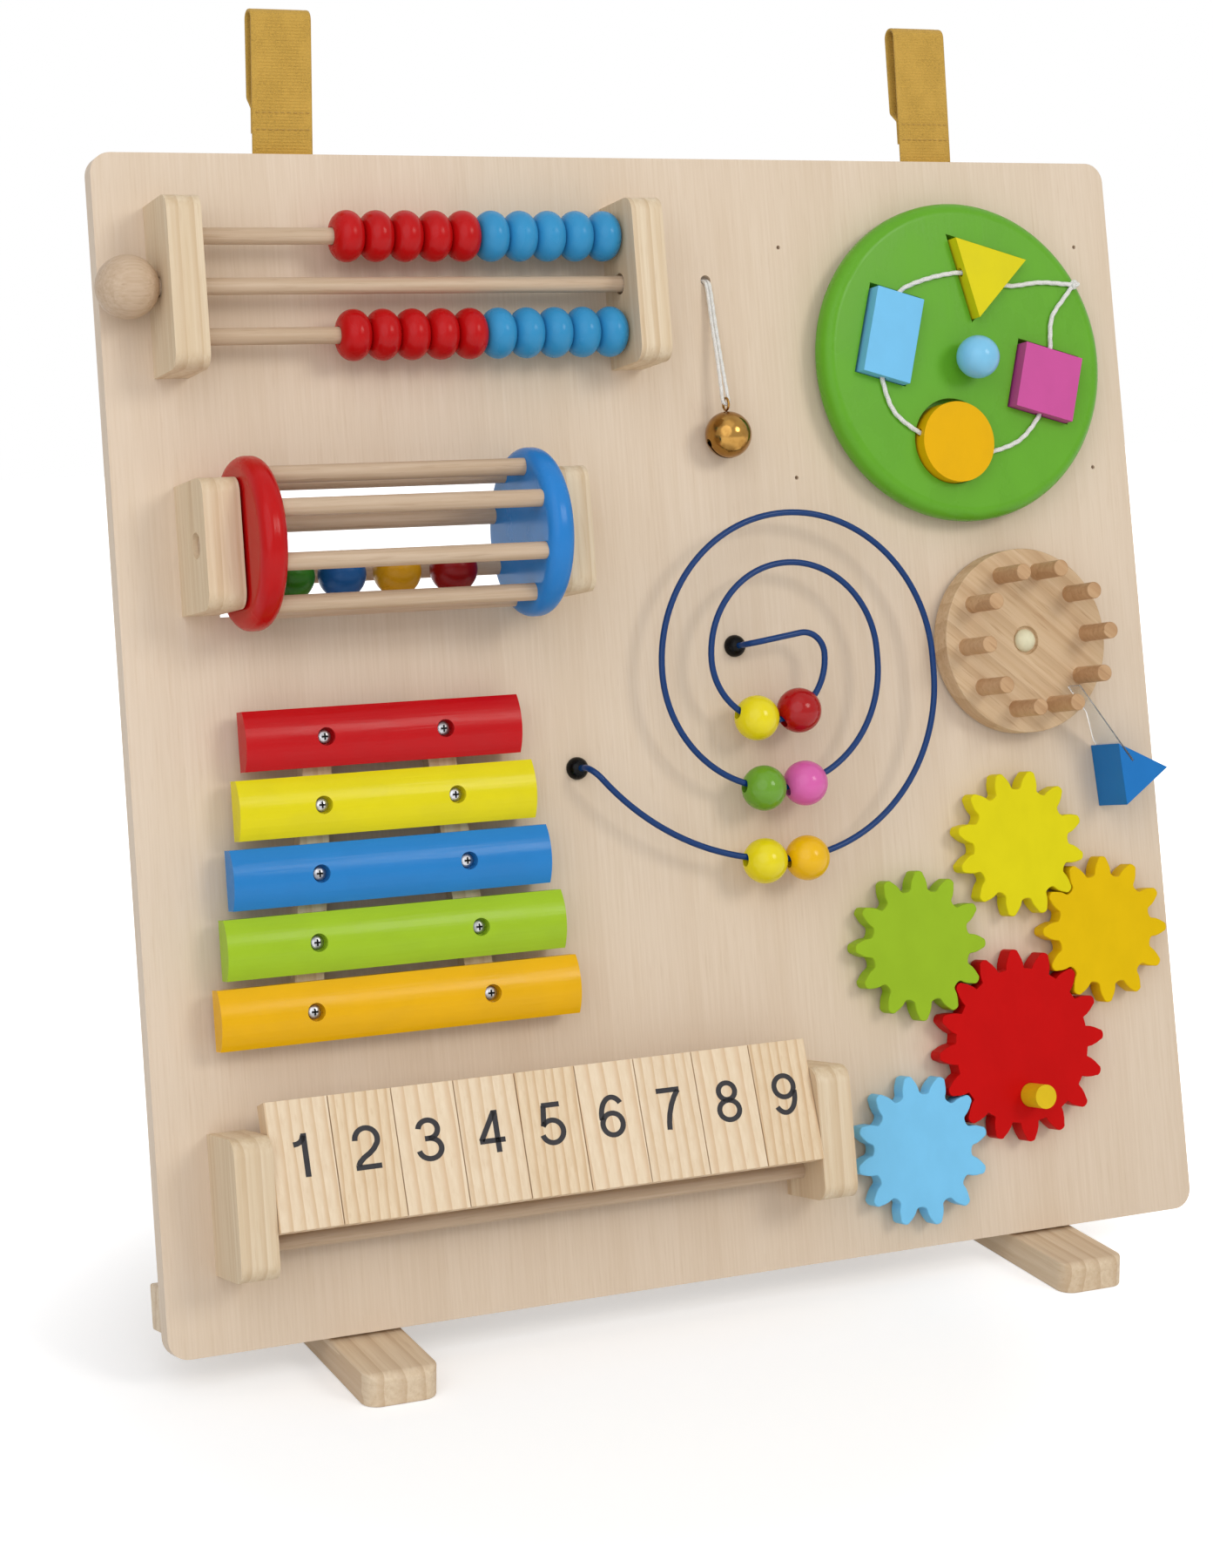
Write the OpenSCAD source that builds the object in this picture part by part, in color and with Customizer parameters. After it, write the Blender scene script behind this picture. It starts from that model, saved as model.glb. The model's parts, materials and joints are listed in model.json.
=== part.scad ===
// Free-standing activity board: nine wooden play stations on one leaning board.
// Millimetres, +Z up, board faces -Y. Origin: floor level, middle of the two feet.
// Board frame inside on_board(): x right, y up along the face, z out of the face.

/* [Board] */
// Side of the square board
board_size = 550; // [548:1:640]
// Thickness of the board
board_thick = 10; // [9:0.5:15]
// Corner radius of the board
board_corner = 10; // [4:1:20]
// Lean of the board back from upright, degrees
board_lean = 12; // [9:0.5:15]
// Diameter of the spare pilot holes round the shape disc
pilot_d = 2; // [1.5:0.1:3]
// Width between the spare pilot holes
pilot_w = 176; // [170:1:184]
// Height between the spare pilot holes
pilot_h = 117; // [100:1:130]

/* [Stand] */
// Width of a foot
foot_width = 36; // [28:1:45]
// Height of a foot
foot_height = 15; // [12:1:20]
// Length of a foot, front to back
foot_length = 230; // [200:5:280]
// Reach of the feet in front of the board
foot_front = 46; // [38:1:60]
// Distance between the feet, centre to centre
foot_spread = 366; // [300:1:440]
// Offset of the pair of feet to the right
foot_shift = 3; // [0:0.5:8]
// Rounding of the front corners of a foot
foot_round = 8; // [4:0.5:12]
// Thickness of a brace behind the board
brace_thick = 18; // [12:1:26]
// Height of a brace up the back of the board
brace_height = 190; // [120:5:260]
// Length of a brace along its foot
brace_depth = 125; // [90:5:140]
// Depth of a brace's tenon in its foot
brace_root = 3; // [2:0.5:6]
// Height of the rear batten above the board's lower edge
batten_low = 11; // [6:1:20]
// Height of the rear batten
batten_height = 21; // [16:1:30]
// Thickness of the rear batten
batten_thick = 18; // [12:1:24]
// Distance of the batten's ends inside the board's edges
batten_inset = 1; // [0.5:0.5:6]

/* [Straps] */
// Width of the hanging straps
strap_width = 30; // [22:1:40]
// Thickness of the strap webbing
strap_thick = 1.6; // [1.2:0.1:2]
// Height of a strap loop above the board
strap_rise = 72.8; // [60:0.1:90]
// How much lower the left loop stands
strap_less = 2.3; // [0:0.1:5]
// Outer radius of the fold at the top of a loop
strap_fold = 5.2; // [5:0.1:9]
// Depth of a loop just above its lap
strap_slack = 9.6; // [8:0.1:10]
// Length of strap behind the board
strap_tail = 46; // [40:1:70]
// Distance between the straps, centre to centre
strap_spread = 352; // [300:1:400]
// Offset of the pair of straps to the left
strap_shift = 2; // [0:0.5:6]
// Forward tilt of the left loop, degrees
strap_tilt_left = 10; // [0:0.5:12]
// Forward tilt of the right loop, degrees
strap_tilt_right = 3; // [0:0.5:12]
// Height above the board where the flap closes the loop
strap_close = 22; // [16:1:28]
// Length of flap pressed onto the strap
strap_lap = 12; // [8:1:14]

/* [Fits] */
// Gap round glued and pressed pieces
fit_gap = 0.05; // [0.03:0.01:0.08]
// Gap round turning shafts
run_gap = 0.08; // [0.05:0.01:0.1]
// Gap round beads on their rods
bead_gap = 0.3; // [0.2:0.05:0.4]
// Gap under pieces that only rest
rest_gap = 0.05; // [0.03:0.01:0.1]

/* [Screws] */
// Diameter of the pan heads
screw_head_d = 6.4; // [5.5:0.1:7]
// Height of the pan heads
screw_head_h = 2.2; // [1.8:0.1:2.6]
// Diameter of the shanks
screw_d = 3; // [2.5:0.1:3.5]
// Length of the shanks
screw_len = 11; // [10:0.5:11.5]

/* [End blocks] */
// Radius of the front corners of the end blocks
block_round = 8; // [3:0.5:10]

/* [Abacus] */
// Middle of the abacus, left to right
abacus_x = -127.3; // [-130:0.1:-125]
// Middle of the abacus, up the board
abacus_y = 484.2; // [478:0.1:490]
// Clear length between the abacus blocks
abacus_clear = 215; // [210:1:220]
// Thickness of an abacus block
abacus_block_w = 16.4; // [14:0.1:18]
// Length of an abacus block up the board
abacus_block_l = 80; // [76:1:90]
// Height of an abacus block off the board
abacus_block_h = 37; // [32:0.5:42]
// Height of the rods off the board
abacus_rod_z = 17; // [15:0.5:19]
// Distance from the mallet stick to each bead rod
abacus_row = 23.4; // [22.5:0.1:26]
// Diameter of the bead rods
rod_d = 8; // [7:0.1:9]
// Depth of a rod in its block
rod_seat = 9; // [7:0.5:10]
// Diameter of an abacus bead
abacus_bead_d = 24.5; // [22:0.1:26]
// Thickness of an abacus bead
abacus_bead_t = 14.6; // [13:0.1:15]

/* [Mallet] */
// Diameter of the mallet ball
mallet_ball_d = 29.5; // [26:0.5:32]
// Diameter of the mallet stick
mallet_stick_d = 8; // [7:0.1:8.5]
// Diameter of the parking hole in the left block
mallet_hole_d = 9.2; // [8.8:0.1:9.6]
// Diameter of the wider parking hole in the right block
mallet_end_hole_d = 10.4; // [9.6:0.1:11]
// Depth of the stick in the right block
mallet_seat = 6; // [4:0.5:8]

/* [Drum] */
// Middle of the drum, left to right
drum_x = -150.8; // [-153:0.1:-148]
// Drum axis, up the board
drum_y = 364; // [360:0.5:368]
// Drum axis, off the board
drum_z = 29; // [27:0.5:32]
// Clear length between the drum blocks
drum_clear = 154.5; // [150:0.5:160]
// Thickness of a drum block
drum_block_w = 17.5; // [15:0.5:20]
// Length of a drum block up the board
drum_block_l = 60; // [52:1:66]
// Height of a drum block off the board
drum_block_h = 44; // [41:0.5:48]
// Radius of the end discs
drum_disc_r = 40; // [38:0.5:41.5]
// Thickness of the end discs
drum_disc_t = 13; // [11:0.5:15]
// Rim rounding of the end discs
drum_rim = 5.5; // [3:0.5:6]
// Gap between disc and block
drum_gap = 1.2; // [0.8:0.1:2]
// Diameter of the cage dowels
cage_d = 8.2; // [7:0.1:9]
// Number of cage dowels
cage_count = 8; // [6:1:8]
// Radius of the ring of cage dowels
cage_r = 32; // [31:0.1:33]
// Turn of the cage at rest, degrees
cage_turn = 24.5; // [20:0.5:28]
// Depth of a dowel in its disc
cage_seat = 8; // [6:0.5:9]
// Diameter of the stub axles
stub_d = 12; // [10:0.5:14]
// Depth of a stub below the block's outer face
stub_recess = 2.5; // [1:0.5:4]
// Diameter of the loose balls
rattle_d = 22.6; // [20:0.1:23]
// Margin of the window round the drum
window_margin = 3.5; // [2.5:0.1:5]

/* [Xylophone] */
// Middle of the xylophone, left to right
xylo_x = -157.5; // [-160:0.5:-155]
// Centre of the shortest bar, up the board
xylo_y = 274.6; // [270:0.2:278]
// Distance from bar to bar
xylo_pitch = 31.2; // [30:0.1:32]
// Length of the shortest bar
bar_len = 136; // [128:1:140]
// Added length of each next bar
bar_step = 10.2; // [8:0.1:11]
// Width of a bar
bar_width = 27.6; // [25:0.1:29]
// Thickness of a bar at its crown
bar_thick = 12; // [11:0.5:14]
// Rise of the crown above the bar's edges
bar_crown = 4.5; // [3:0.1:5.5]
// Diameter of the counterbore for a screw head
bar_counterbore = 8.4; // [7.6:0.1:9]
// Depth of the counterbore below the crown
bar_recess = 4.6; // [4:0.1:5.5]
// Width of a rail under the bars
rail_width = 14; // [12:0.5:18]
// Thickness of a rail under the bars
rail_thick = 8; // [7.5:0.1:10]
// Half the distance between the rails at the shortest bar
rail_in = 29.4; // [27:0.1:32]
// Widening of the rails at each next bar
rail_step = 3.5; // [2.5:0.1:4]

/* [Number tiles] */
// Middle of the row of tiles, left to right
tile_x = -95.8; // [-98:0.1:-94]
// Tile axle, up the board
tile_y = 69; // [66:0.5:72]
// Tile axle, off the board
tile_z = 34.5; // [33:0.5:36]
// Distance from tile to tile
tile_pitch = 30.4; // [28:0.1:31]
// Gap between tiles
tile_gap = 0.5; // [0.4:0.05:0.8]
// Length of a tile
tile_len = 58; // [52:0.5:60]
// Thickness of a tile
tile_thick = 10; // [8:0.5:11]
// Length of a tile below its axle
tile_drop = 14; // [12:0.5:16]
// Lean of the tiles toward the board, degrees
tile_lean = 12.5; // [8:0.5:18]
// Diameter of the steel tile axle
tile_axle_d = 3; // [2.5:0.1:4]
// Thickness of a tile block
tile_block_w = 18; // [15:0.5:20]
// Lower edge of the tile blocks
tile_block_y = 35.5; // [32:0.5:38]
// Length of a tile block up the board
tile_block_l = 63.5; // [56:0.5:68]
// Height of a tile block off the board
tile_block_h = 40; // [39:0.5:44]
// Depth of axle and stop dowel in the tile blocks
tile_seat = 10; // [7:0.5:12]
// Stop dowel under the tiles, up the board
stop_y = 49; // [46.5:0.5:50]
// Stop dowel under the tiles, off the board
stop_z = 16.5; // [14:0.5:17]

/* [Wire maze] */
// Diameter of the coated wire
wire_d = 3.1; // [2.6:0.1:3.4]
// Height of the wire plane off the board
wire_z = 18; // [16.5:0.5:22]
// Bend radius where the wire turns down to the board
wire_bend = 8; // [6:0.5:9]
// Lowest point of the wire, left to right
maze_x = 49.5; // [47:0.5:51]
// Lowest point of the wire, up the board
maze_y = 199.5; // [197:0.5:202]
// Radius of the lead-in arc
maze_r0 = 130; // [125:1:135]
// Sweep of the lead-in arc, degrees
maze_a0 = 49.5; // [46:0.5:51]
// Radius of the outer lower arc
maze_r1 = 87.5; // [86:0.5:89]
// Radius of the outer upper arc
maze_r2 = 75.3; // [74.5:0.1:77.5]
// Radius of the middle lower arc
maze_r3 = 59.5; // [58.5:0.1:62]
// Radius of the inner upper arc
maze_r4 = 46; // [45:0.5:47]
// Radius of the inner lower arc
maze_r5 = 31.2; // [29.5:0.1:32]
// Radius of the inner curl
maze_r6 = 11; // [8.5:0.5:12]
// Sweep of the inner curl, degrees
maze_a6 = 98; // [95:1:105]
// Straight rise between the outer arcs
maze_s1 = 7; // [6:0.5:10]
// Straight rise between the inner arcs
maze_s2 = 4.6; // [4:0.1:8]
// Straight lead from the curl to the inner ferrule
maze_s3 = 20.3; // [18:0.1:22]
// Diameter of a maze bead
maze_bead_d = 22.2; // [20:0.1:22.4]
// Diameter of the hole in a maze bead
maze_bore = 6.4; // [6.2:0.1:7]
// Diameter of a ferrule
ferrule_d = 11; // [9:0.5:13]
// Height of a ferrule
ferrule_h = 6; // [5:0.5:7]

/* [Bell] */
// Cord hole, left to right
bell_x = 35.4; // [32:0.1:37]
// Cord hole, up the board
bell_y = 488.5; // [484:0.5:492]
// Diameter of the cord hole
bell_hole_d = 5.4; // [5:0.1:6]
// Distance from the hole to the bell's centre
bell_hang = 79; // [76:0.5:82]
// Diameter of the bell
bell_d = 23.2; // [20:0.1:24]
// Wall of the bell
bell_wall = 0.9; // [0.7:0.1:1.2]
// Diameter of the bell's round slot ends
bell_eye = 4; // [3:0.1:4.5]
// Width of the bell's slot
bell_slot = 1.4; // [1:0.1:2]
// Diameter of the ball inside the bell
bell_pea = 6; // [5:0.1:7]
// Inner radius of the bell's ring
ring_r = 2.4; // [2.2:0.1:2.8]
// Wire of the bell's ring
ring_wire = 1.2; // [1:0.1:1.4]
// Diameter of each strand of the bell cord
bell_cord_d = 1.8; // [1.6:0.1:2]

/* [Shape disc] */
// Centre of the disc, left to right
disc_x = 172; // [170:0.5:174]
// Centre of the disc, up the board
disc_y = 443.7; // [441:0.1:446]
// Radius of the disc
disc_r = 82; // [80:0.5:84]
// Thickness of the disc
disc_t = 15; // [14:0.5:17]
// Rounding of the disc's rim, front and back
disc_rim = 6.5; // [3:0.5:6.5]
// Turn of the disc at rest, degrees
disc_turn = -16; // [-20:0.5:-8]
// Radius at which the shapes sit
shape_ring = 46.5; // [45.5:0.5:47]
// How much nearer the centre the round shape sits
round_in = 2.5; // [0:0.5:4]
// Depth of the recesses
recess_depth = 7.5; // [6:0.5:8]
// Gap round a shape in its recess
recess_gap = 1.4; // [1.3:0.1:1.8]
// How far the shapes rest below the middle of their recesses
recess_sag = 1; // [0:0.1:1]
// Thickness of the shapes
shape_t = 14; // [11:0.5:14]
// Side of the triangle
tri_side = 42.5; // [40:0.5:44]
// Width of the rectangle
rect_w = 27; // [25:0.5:28]
// Height of the rectangle
rect_h = 44.4; // [42:0.5:46]
// Diameter of the round shape
round_d = 41; // [38:0.5:42]
// Side of the square
square_side = 34; // [32:0.5:35]
// Diameter of the disc cord
disc_cord_d = 2.4; // [2:0.1:2.8]
// Diameter of the knot at the disc's rim
knot_d = 5.3; // [4.8:0.1:6]
// Diameter of the cord holes through the shapes
cord_hole_d = 4; // [3.4:0.1:4.4]
// Diameter of the knob ball
knob_d = 22; // [19:0.5:24]
// Diameter of the knob's stem
knob_stem_d = 9; // [7:0.5:11]
// Depth of the stem in the disc
knob_seat = 4; // [3:0.5:4.5]

/* [Peg wheel] */
// Centre of the wheel, left to right
wheel_x = 195; // [193:0.5:197]
// Centre of the wheel, up the board
wheel_y = 299; // [297:0.5:301]
// Radius of the wheel
wheel_r = 47.2; // [45:0.1:48]
// Thickness of the wheel
wheel_t = 12.5; // [10:0.5:13]
// Number of pegs
peg_count = 10; // [8:1:10]
// Radius of the ring of pegs
peg_ring = 36; // [35.5:0.1:36.5]
// Diameter of a peg
peg_d = 8.5; // [7:0.1:9]
// Length of a peg above the wheel
peg_len = 24; // [18:0.5:26]
// Turn of the wheel at rest, degrees
peg_turn = 2.7; // [0:0.1:5]
// Diameter of the cap on the wheel's axle
cap_d = 11.8; // [11:0.1:15]
// Height of the cap
cap_h = 5; // [4:0.1:5.4]
// Depth of the well round the cap
cap_well = 2; // [1:0.5:3]
// Gap round the cap in its well
cap_gap = 1.3; // [1:0.1:1.6]

/* [Clicker] */
// Middle of the clicker block's left side, left to right
click_x = 238.5; // [237:0.5:240]
// Middle of the clicker block's left side, up the board
click_y = 227; // [225.5:0.5:228.5]
// Side of the triangular clicker block
click_side = 32; // [30:0.5:34]
// Height of the clicker block off the board
click_h = 26.5; // [25:0.5:29]
// Turn of the clicker block, degrees
click_turn = 3.6; // [2:0.1:5]
// Thickness of the clear tongue
tongue_t = 0.8; // [0.6:0.05:1]
// Length of the tongue
tongue_len = 49.5; // [48:0.5:50.5]
// Tip of the tongue, left to right
tongue_x = 217; // [216:0.5:218]
// Tip of the tongue, up the board
tongue_y = 274; // [273:0.5:275]
// Tilt of the tongue from straight down, degrees
tongue_tilt = 35; // [34:0.5:36]
// Lower edge of the tongue at the clicker block
tongue_low = 4.5; // [3:0.5:6]
// Gap between the tongue and the wheel's face
tongue_gap = 1.3; // [1:0.1:2]

/* [Gear train] */
// Module of the teeth
gear_module = 5.5; // [5.4:0.02:5.56]
// Teeth of the large gear
teeth_big = 16; // [16:1:16]
// Teeth of each small gear
teeth_small = 12; // [12:1:12]
// Pressure angle of the teeth, degrees
gear_angle = 28; // [26:0.5:30]
// Height of the teeth above the pitch circle
gear_add = 4.4; // [4:0.1:4.5]
// Depth of the teeth below the pitch circle
gear_ded = 5.2; // [5:0.1:5.6]
// Rounded part of a tooth's tip
gear_tip = 1.7; // [1.2:0.1:2]
// Thinning of each tooth for play
gear_play = 0.5; // [0.4:0.05:0.7]
// Thickness of the gears
gear_t = 9.5; // [8:0.5:11]
// Centre of the large gear, left to right
gear_x = 174.5; // [173:0.5:176]
// Centre of the large gear, up the board
gear_y = 94.6; // [93:0.2:96]
// Turn of the large gear at rest, degrees
gear_turn = 0.8; // [0:0.1:2]
// Direction from the large to the green gear, degrees
gear_green_at = 134.2; // [133:0.1:136]
// Direction from the large to the amber gear, degrees
gear_amber_at = 44.2; // [43:0.1:45]
// Direction from the large to the light blue gear, degrees
gear_blue_at = 216.2; // [215:0.1:218]
// Direction from the amber to the yellow gear, degrees
gear_yellow_at = 133.9; // [133:0.1:136]
// Diameter of the crank handle on the large gear
handle_d = 12; // [10:0.5:14]
// Length of the handle above the gear
handle_len = 14; // [12:0.5:18]
// Radius of the handle from the gear's centre
handle_r = 25.4; // [22:0.2:28]
// Direction of the handle at rest, degrees
handle_at = -84.1; // [-95:0.5:-75]
// Depth of the handle in the gear
handle_seat = 6; // [4:0.5:7]

/* [Axle pins] */
// Diameter of the axle pins
pin_d = 8; // [7:0.1:9]
// Diameter of the collars under the turning pieces
collar_d = 18; // [14:0.5:22]
// Height of the collars
collar_h = 1.9; // [1.5:0.1:2.5]
// Depth of a pin's bore short of the gear's front
pin_skin = 2.2; // [1.8:0.1:3]
// Depth of a pin short of the board's back
pin_back = 1; // [0.5:0.1:2]

/* [Hidden] */
$fn = 64;

// board placement: the lower rear edge stands on the feet
board_y0 = foot_front - foot_length / 2;
board_z0 = foot_height + board_thick * sin(board_lean);

// abacus
abacus_l = abacus_x - abacus_clear / 2;
abacus_r = abacus_x + abacus_clear / 2;
abacus_low = abacus_y - abacus_block_l / 2;
abacus_pitch = abacus_bead_t + rest_gap;
bead_tube = abacus_bead_t / 2;
mallet_x = abacus_l - abacus_block_w - mallet_ball_d / 2 - rest_gap;

// drum
drum_l = drum_x - drum_clear / 2;
drum_r = drum_x + drum_clear / 2;
cage_l = drum_l + drum_gap + drum_disc_t;
cage_rt = drum_r - drum_gap - drum_disc_t;
window_half = sqrt(drum_disc_r * drum_disc_r - drum_z * drum_z) + window_margin;
ball_seat = cage_r - cage_d / 2 - rattle_d / 2 - rest_gap;
ball_turn = cage_turn - 135;
ball_first = cage_l + rattle_d / 2 + 2.4;
ball_space = [0, 2.4, 7, 12.6];

// xylophone
rail_lean = atan(rail_step / xylo_pitch);
crown_r = (bar_width * bar_width / 4 + bar_crown * bar_crown) / (2 * bar_crown);

// tiles
tile_l = tile_x - 4.5 * tile_pitch;
tile_r = tile_x + 4.5 * tile_pitch;

// maze: arc centres follow from the radii and straights
c0 = [maze_x, maze_y + maze_r0];
c1 = [maze_x, maze_y + maze_r1];
c2 = [c1[0] + maze_r1 - maze_r2, c1[1] + maze_s1];
c3 = [c2[0] - maze_r2 + maze_r3, c2[1]];
c4 = [c3[0] + maze_r3 - maze_r4, c3[1] + maze_s2];
c5 = [c4[0] - maze_r4 + maze_r5, c4[1]];
c6 = [c5[0] + maze_r5 - maze_r6, c5[1]];
lead_at = 270 - maze_a0;
lead_end = c0 + maze_r0 * [cos(lead_at), sin(lead_at)];
lead_dir = [-cos(maze_a0), sin(maze_a0)];
curl_end = c6 + maze_r6 * [cos(maze_a6), sin(maze_a6)];
curl_dir = [-sin(maze_a6), cos(maze_a6)];
curl_stop = curl_end + maze_s3 * curl_dir;
ferrules = [lead_end + wire_bend * lead_dir, curl_stop + wire_bend * curl_dir];
bore_half = sqrt(maze_bead_d * maze_bead_d - maze_bore * maze_bore) / 2;

// parting between the bent stretches of the wire
wire_part = 0.01;

// turning pieces on collars
seat_z = collar_h + rest_gap;

// gear centres and rest turns follow from the pitch circles
big_pr = gear_module * teeth_big / 2;
small_pr = gear_module * teeth_small / 2;
big_at = [gear_x, gear_y];
green_at = big_at + (big_pr + small_pr) * [cos(gear_green_at), sin(gear_green_at)];
amber_at = big_at + (big_pr + small_pr) * [cos(gear_amber_at), sin(gear_amber_at)];
blue_at = big_at + (big_pr + small_pr) * [cos(gear_blue_at), sin(gear_blue_at)];
yellow_at = amber_at + 2 * small_pr * [cos(gear_yellow_at), sin(gear_yellow_at)];
green_turn = mesh_turn(gear_turn, teeth_big, gear_green_at, teeth_small);
amber_turn = mesh_turn(gear_turn, teeth_big, gear_amber_at, teeth_small);
blue_turn = mesh_turn(gear_turn, teeth_big, gear_blue_at, teeth_small);
yellow_turn = mesh_turn(amber_turn, teeth_small, gear_yellow_at, teeth_small);

// disc cord: route points in the disc's own axes, from shape to shape
cord_z = seat_z + disc_t + disc_cord_d / 2 + rest_gap;
knot_at = [54.6, 55.6];
cord_routes = [
    [knot_at - [knot_d / 2 + 0.08, 0.6], [34.9, 51.2], [13.9, 43.7]],
    [[-12.5, 42.7], [-27.6, 36.3], [-44.6, 23.6]],
    [[-46.7, -23.3], [-37.4, -37.2], [-21.8, -44.6]],
    [[21.8, -43.2], [37.2, -32.8], [47.2, -18.2]],
    [[48, 18], [44.4, 34.1], [50.4, 46.6], knot_at - [0.2, knot_d / 2 + 0.25]]
];

// a gear that meshes at direction a turns so that tooth meets gap
function mesh_turn(turn1, n1, a, n2) = a + 180 - 360 / n2 * (0.5 - (a - turn1) * n1 / 360);

// involute of the angle a, in degrees of turn
function involute(a) = tan(a) * 180 / PI - a;

// half the angle of a tooth at radius r
function tooth_half(n, r) = 90 / n - gear_play / (gear_module * n) * 180 / PI
    + involute(gear_angle) - involute(acos(min(1, gear_module * n / 2 * cos(gear_angle) / r)));

// one side of a tooth, from the gap's middle to the tip, as [angle, radius]
function tooth_side(n) = let (
        pr = gear_module * n / 2,
        rb = pr * cos(gear_angle) + 0.05,
        rt = pr + gear_add - gear_tip,
        rf = pr - gear_ded,
        hb = tooth_half(n, rb),
        ht = tooth_half(n, rt),
        gap = 180 / n - hb
    ) concat(
        [for (t = [90, 60, 30]) [hb + gap * (1 - cos(t)), rb - (rb - rf) * sin(t)]],
        [for (i = [0 : 3]) let (r = rb + (rt - rb) * i / 3) [tooth_half(n, r), r]],
        [for (t = [35, 65, 90]) [ht * cos(t), rt + gear_tip * sin(t)]]
    );

// closed outline of a gear with n teeth
function gear_outline(n) = let (side = tooth_side(n), last = len(side) - 1) [
    for (k = [0 : n - 1], j = [0 : 2 * last - 1])
        let (s = j <= last ? side[j] : side[2 * last - j],
             a = k * 360 / n + (j <= last ? -s[0] : s[0]))
            s[1] * [cos(a), sin(a)]
];

// smooth route through points, q steps to a stretch
function route(p, q) = concat(
    [for (i = [0 : len(p) - 2], k = [0 : q - 1]) let (
            t = k / q,
            a = i > 0 ? p[i - 1] : 2 * p[0] - p[1],
            b = p[i],
            c = p[i + 1],
            d = i < len(p) - 2 ? p[i + 2] : 2 * p[i + 1] - p[i]
        ) 0.5 * (2 * b + (c - a) * t + (2 * a - 5 * b + 4 * c - d) * t * t
            + (3 * b - a - 3 * c + d) * t * t * t)],
    [p[len(p) - 1]]
);

function unit(v) = v / norm(v);

// round tube of eight sides along a list of points
module tube(path, d, side) {
    n = len(path);
    rings = [for (i = [0 : n - 1]) let (
            t = unit(path[min(n - 1, i + 1)] - path[max(0, i - 1)]),
            u = unit(cross(t, side)),
            v = cross(t, u)
        ) for (k = [0 : 7]) path[i] + d / 2 * (cos(45 * k) * u + sin(45 * k) * v)];
    sides = [for (i = [0 : n - 2], k = [0 : 7]) let (m = (k + 1) % 8)
            each [[8 * i + k, 8 * i + m, 8 * i + 8 + m], [8 * i + k, 8 * i + 8 + m, 8 * i + 8 + k]]];
    ends = [for (k = [1 : 6])
            each [[0, k + 1, k], [8 * n - 8, 8 * n - 8 + k, 8 * n - 7 + k]]];
    polyhedron(points = rings, faces = [for (f = concat(sides, ends)) [f[0], f[2], f[1]]]);
}

module on_board() {
    translate([0, board_y0, board_z0])
        rotate([90 - board_lean, 0, 0])
            children();
}

// cylinder along the board's width, from x0 to x1
module bar_x(x0, x1, y, z, d) {
    translate([x0, y, z])
        rotate([0, 90, 0])
            cylinder(d = d, h = x1 - x0);
}

// rectangle standing on the x axis with all corners round
module round_rect(w, h, r) {
    translate([r - w / 2, 0])
        square([w - 2 * r, h]);
    translate([-w / 2, r])
        square([w, h - 2 * r]);
    for (x = [r - w / 2, w / 2 - r], y = [r, h - r])
        translate([x, y])
            circle(r);
}

// block on the board with round front corners, left face at x
module end_block(x, y, w, l, h) {
    translate([x, y, 0])
        rotate([90, 0, 90])
            linear_extrude(w) {
                square([l, h - block_round]);
                translate([block_round, 0])
                    square([l - 2 * block_round, h]);
                for (k = [block_round, l - block_round])
                    translate([k, h - block_round])
                        circle(block_round);
            }
}

// pan-head screw, head seat at z = 0, shank downward
module screw() {
    translate([0, 0, -screw_len])
        cylinder(d = screw_d, h = screw_len + 0.01);
    difference() {
        rotate_extrude()
            intersection() {
                square([screw_head_d / 2, screw_head_h]);
                translate([0, screw_head_h - screw_head_d])
                    circle(screw_head_d);
            }
        for (a = [0, 90])
            rotate(a)
                translate([-screw_head_d / 4, -0.45, screw_head_h - 1.1])
                    cube([screw_head_d / 2, 0.9, 2]);
    }
}

module strap_at(s) {
    translate([s * strap_spread / 2 - strap_shift, board_size, -board_thick])
        children();
}

// heads of the strap screws lie on the strap, shanks in the board
module strap_screw_at() {
    for (s = [-1, 1], y = [0.3, 0.75])
        strap_at(s)
            translate([0, -strap_tail * y, -strap_thick - rest_gap])
                rotate([180, 0, 0])
                    children();
}

module bar_screw_at() {
    for (i = [0 : 4], s = [-1, 1])
        translate([
            xylo_x + s * (rail_in + rail_step * i),
            xylo_y - xylo_pitch * i,
            rail_thick + bar_thick - bar_recess + rest_gap
        ])
            children();
}

module pin_at() {
    for (c = [big_at, green_at, amber_at, blue_at, yellow_at])
        translate(c)
            children();
}

module panel() {
    color("burlywood") on_board() difference() {
        translate([0, 0, -board_thick])
            linear_extrude(board_thick)
                round_rect(board_size, board_size, board_corner);
        translate([drum_l + 0.5, drum_y - window_half, -board_thick - 1])
            cube([drum_clear - 1, 2 * window_half, board_thick + 2]);
        translate([bell_x, bell_y, -board_thick - 1])
            cylinder(d = bell_hole_d, h = board_thick + 2);
        for (x = [-1, 1], y = [-1, 1])
            translate([disc_x - 6.2 + x * pilot_w / 2, disc_y + 3 + y * pilot_h / 2, -board_thick / 2])
                cylinder(d = pilot_d, h = board_thick);
        for (c = [[disc_x, disc_y], [wheel_x, wheel_y]])
            translate([c[0], c[1], pin_back - board_thick])
                cylinder(d = pin_d + 2 * fit_gap, h = board_thick);
        pin_at()
            translate([0, 0, pin_back - board_thick])
                cylinder(d = pin_d + 2 * fit_gap, h = board_thick);
        for (f = ferrules)
            translate([f[0], f[1], pin_back - board_thick])
                cylinder(d = wire_d + 2 * fit_gap, h = board_thick);
        strap_screw_at()
            translate([0, 0, -screw_len - fit_gap])
                cylinder(d = screw_d + 2 * fit_gap, h = screw_len + 1);
    }
}

module rear_batten() {
    color("wheat") on_board()
        batten_box(0);
}

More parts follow.
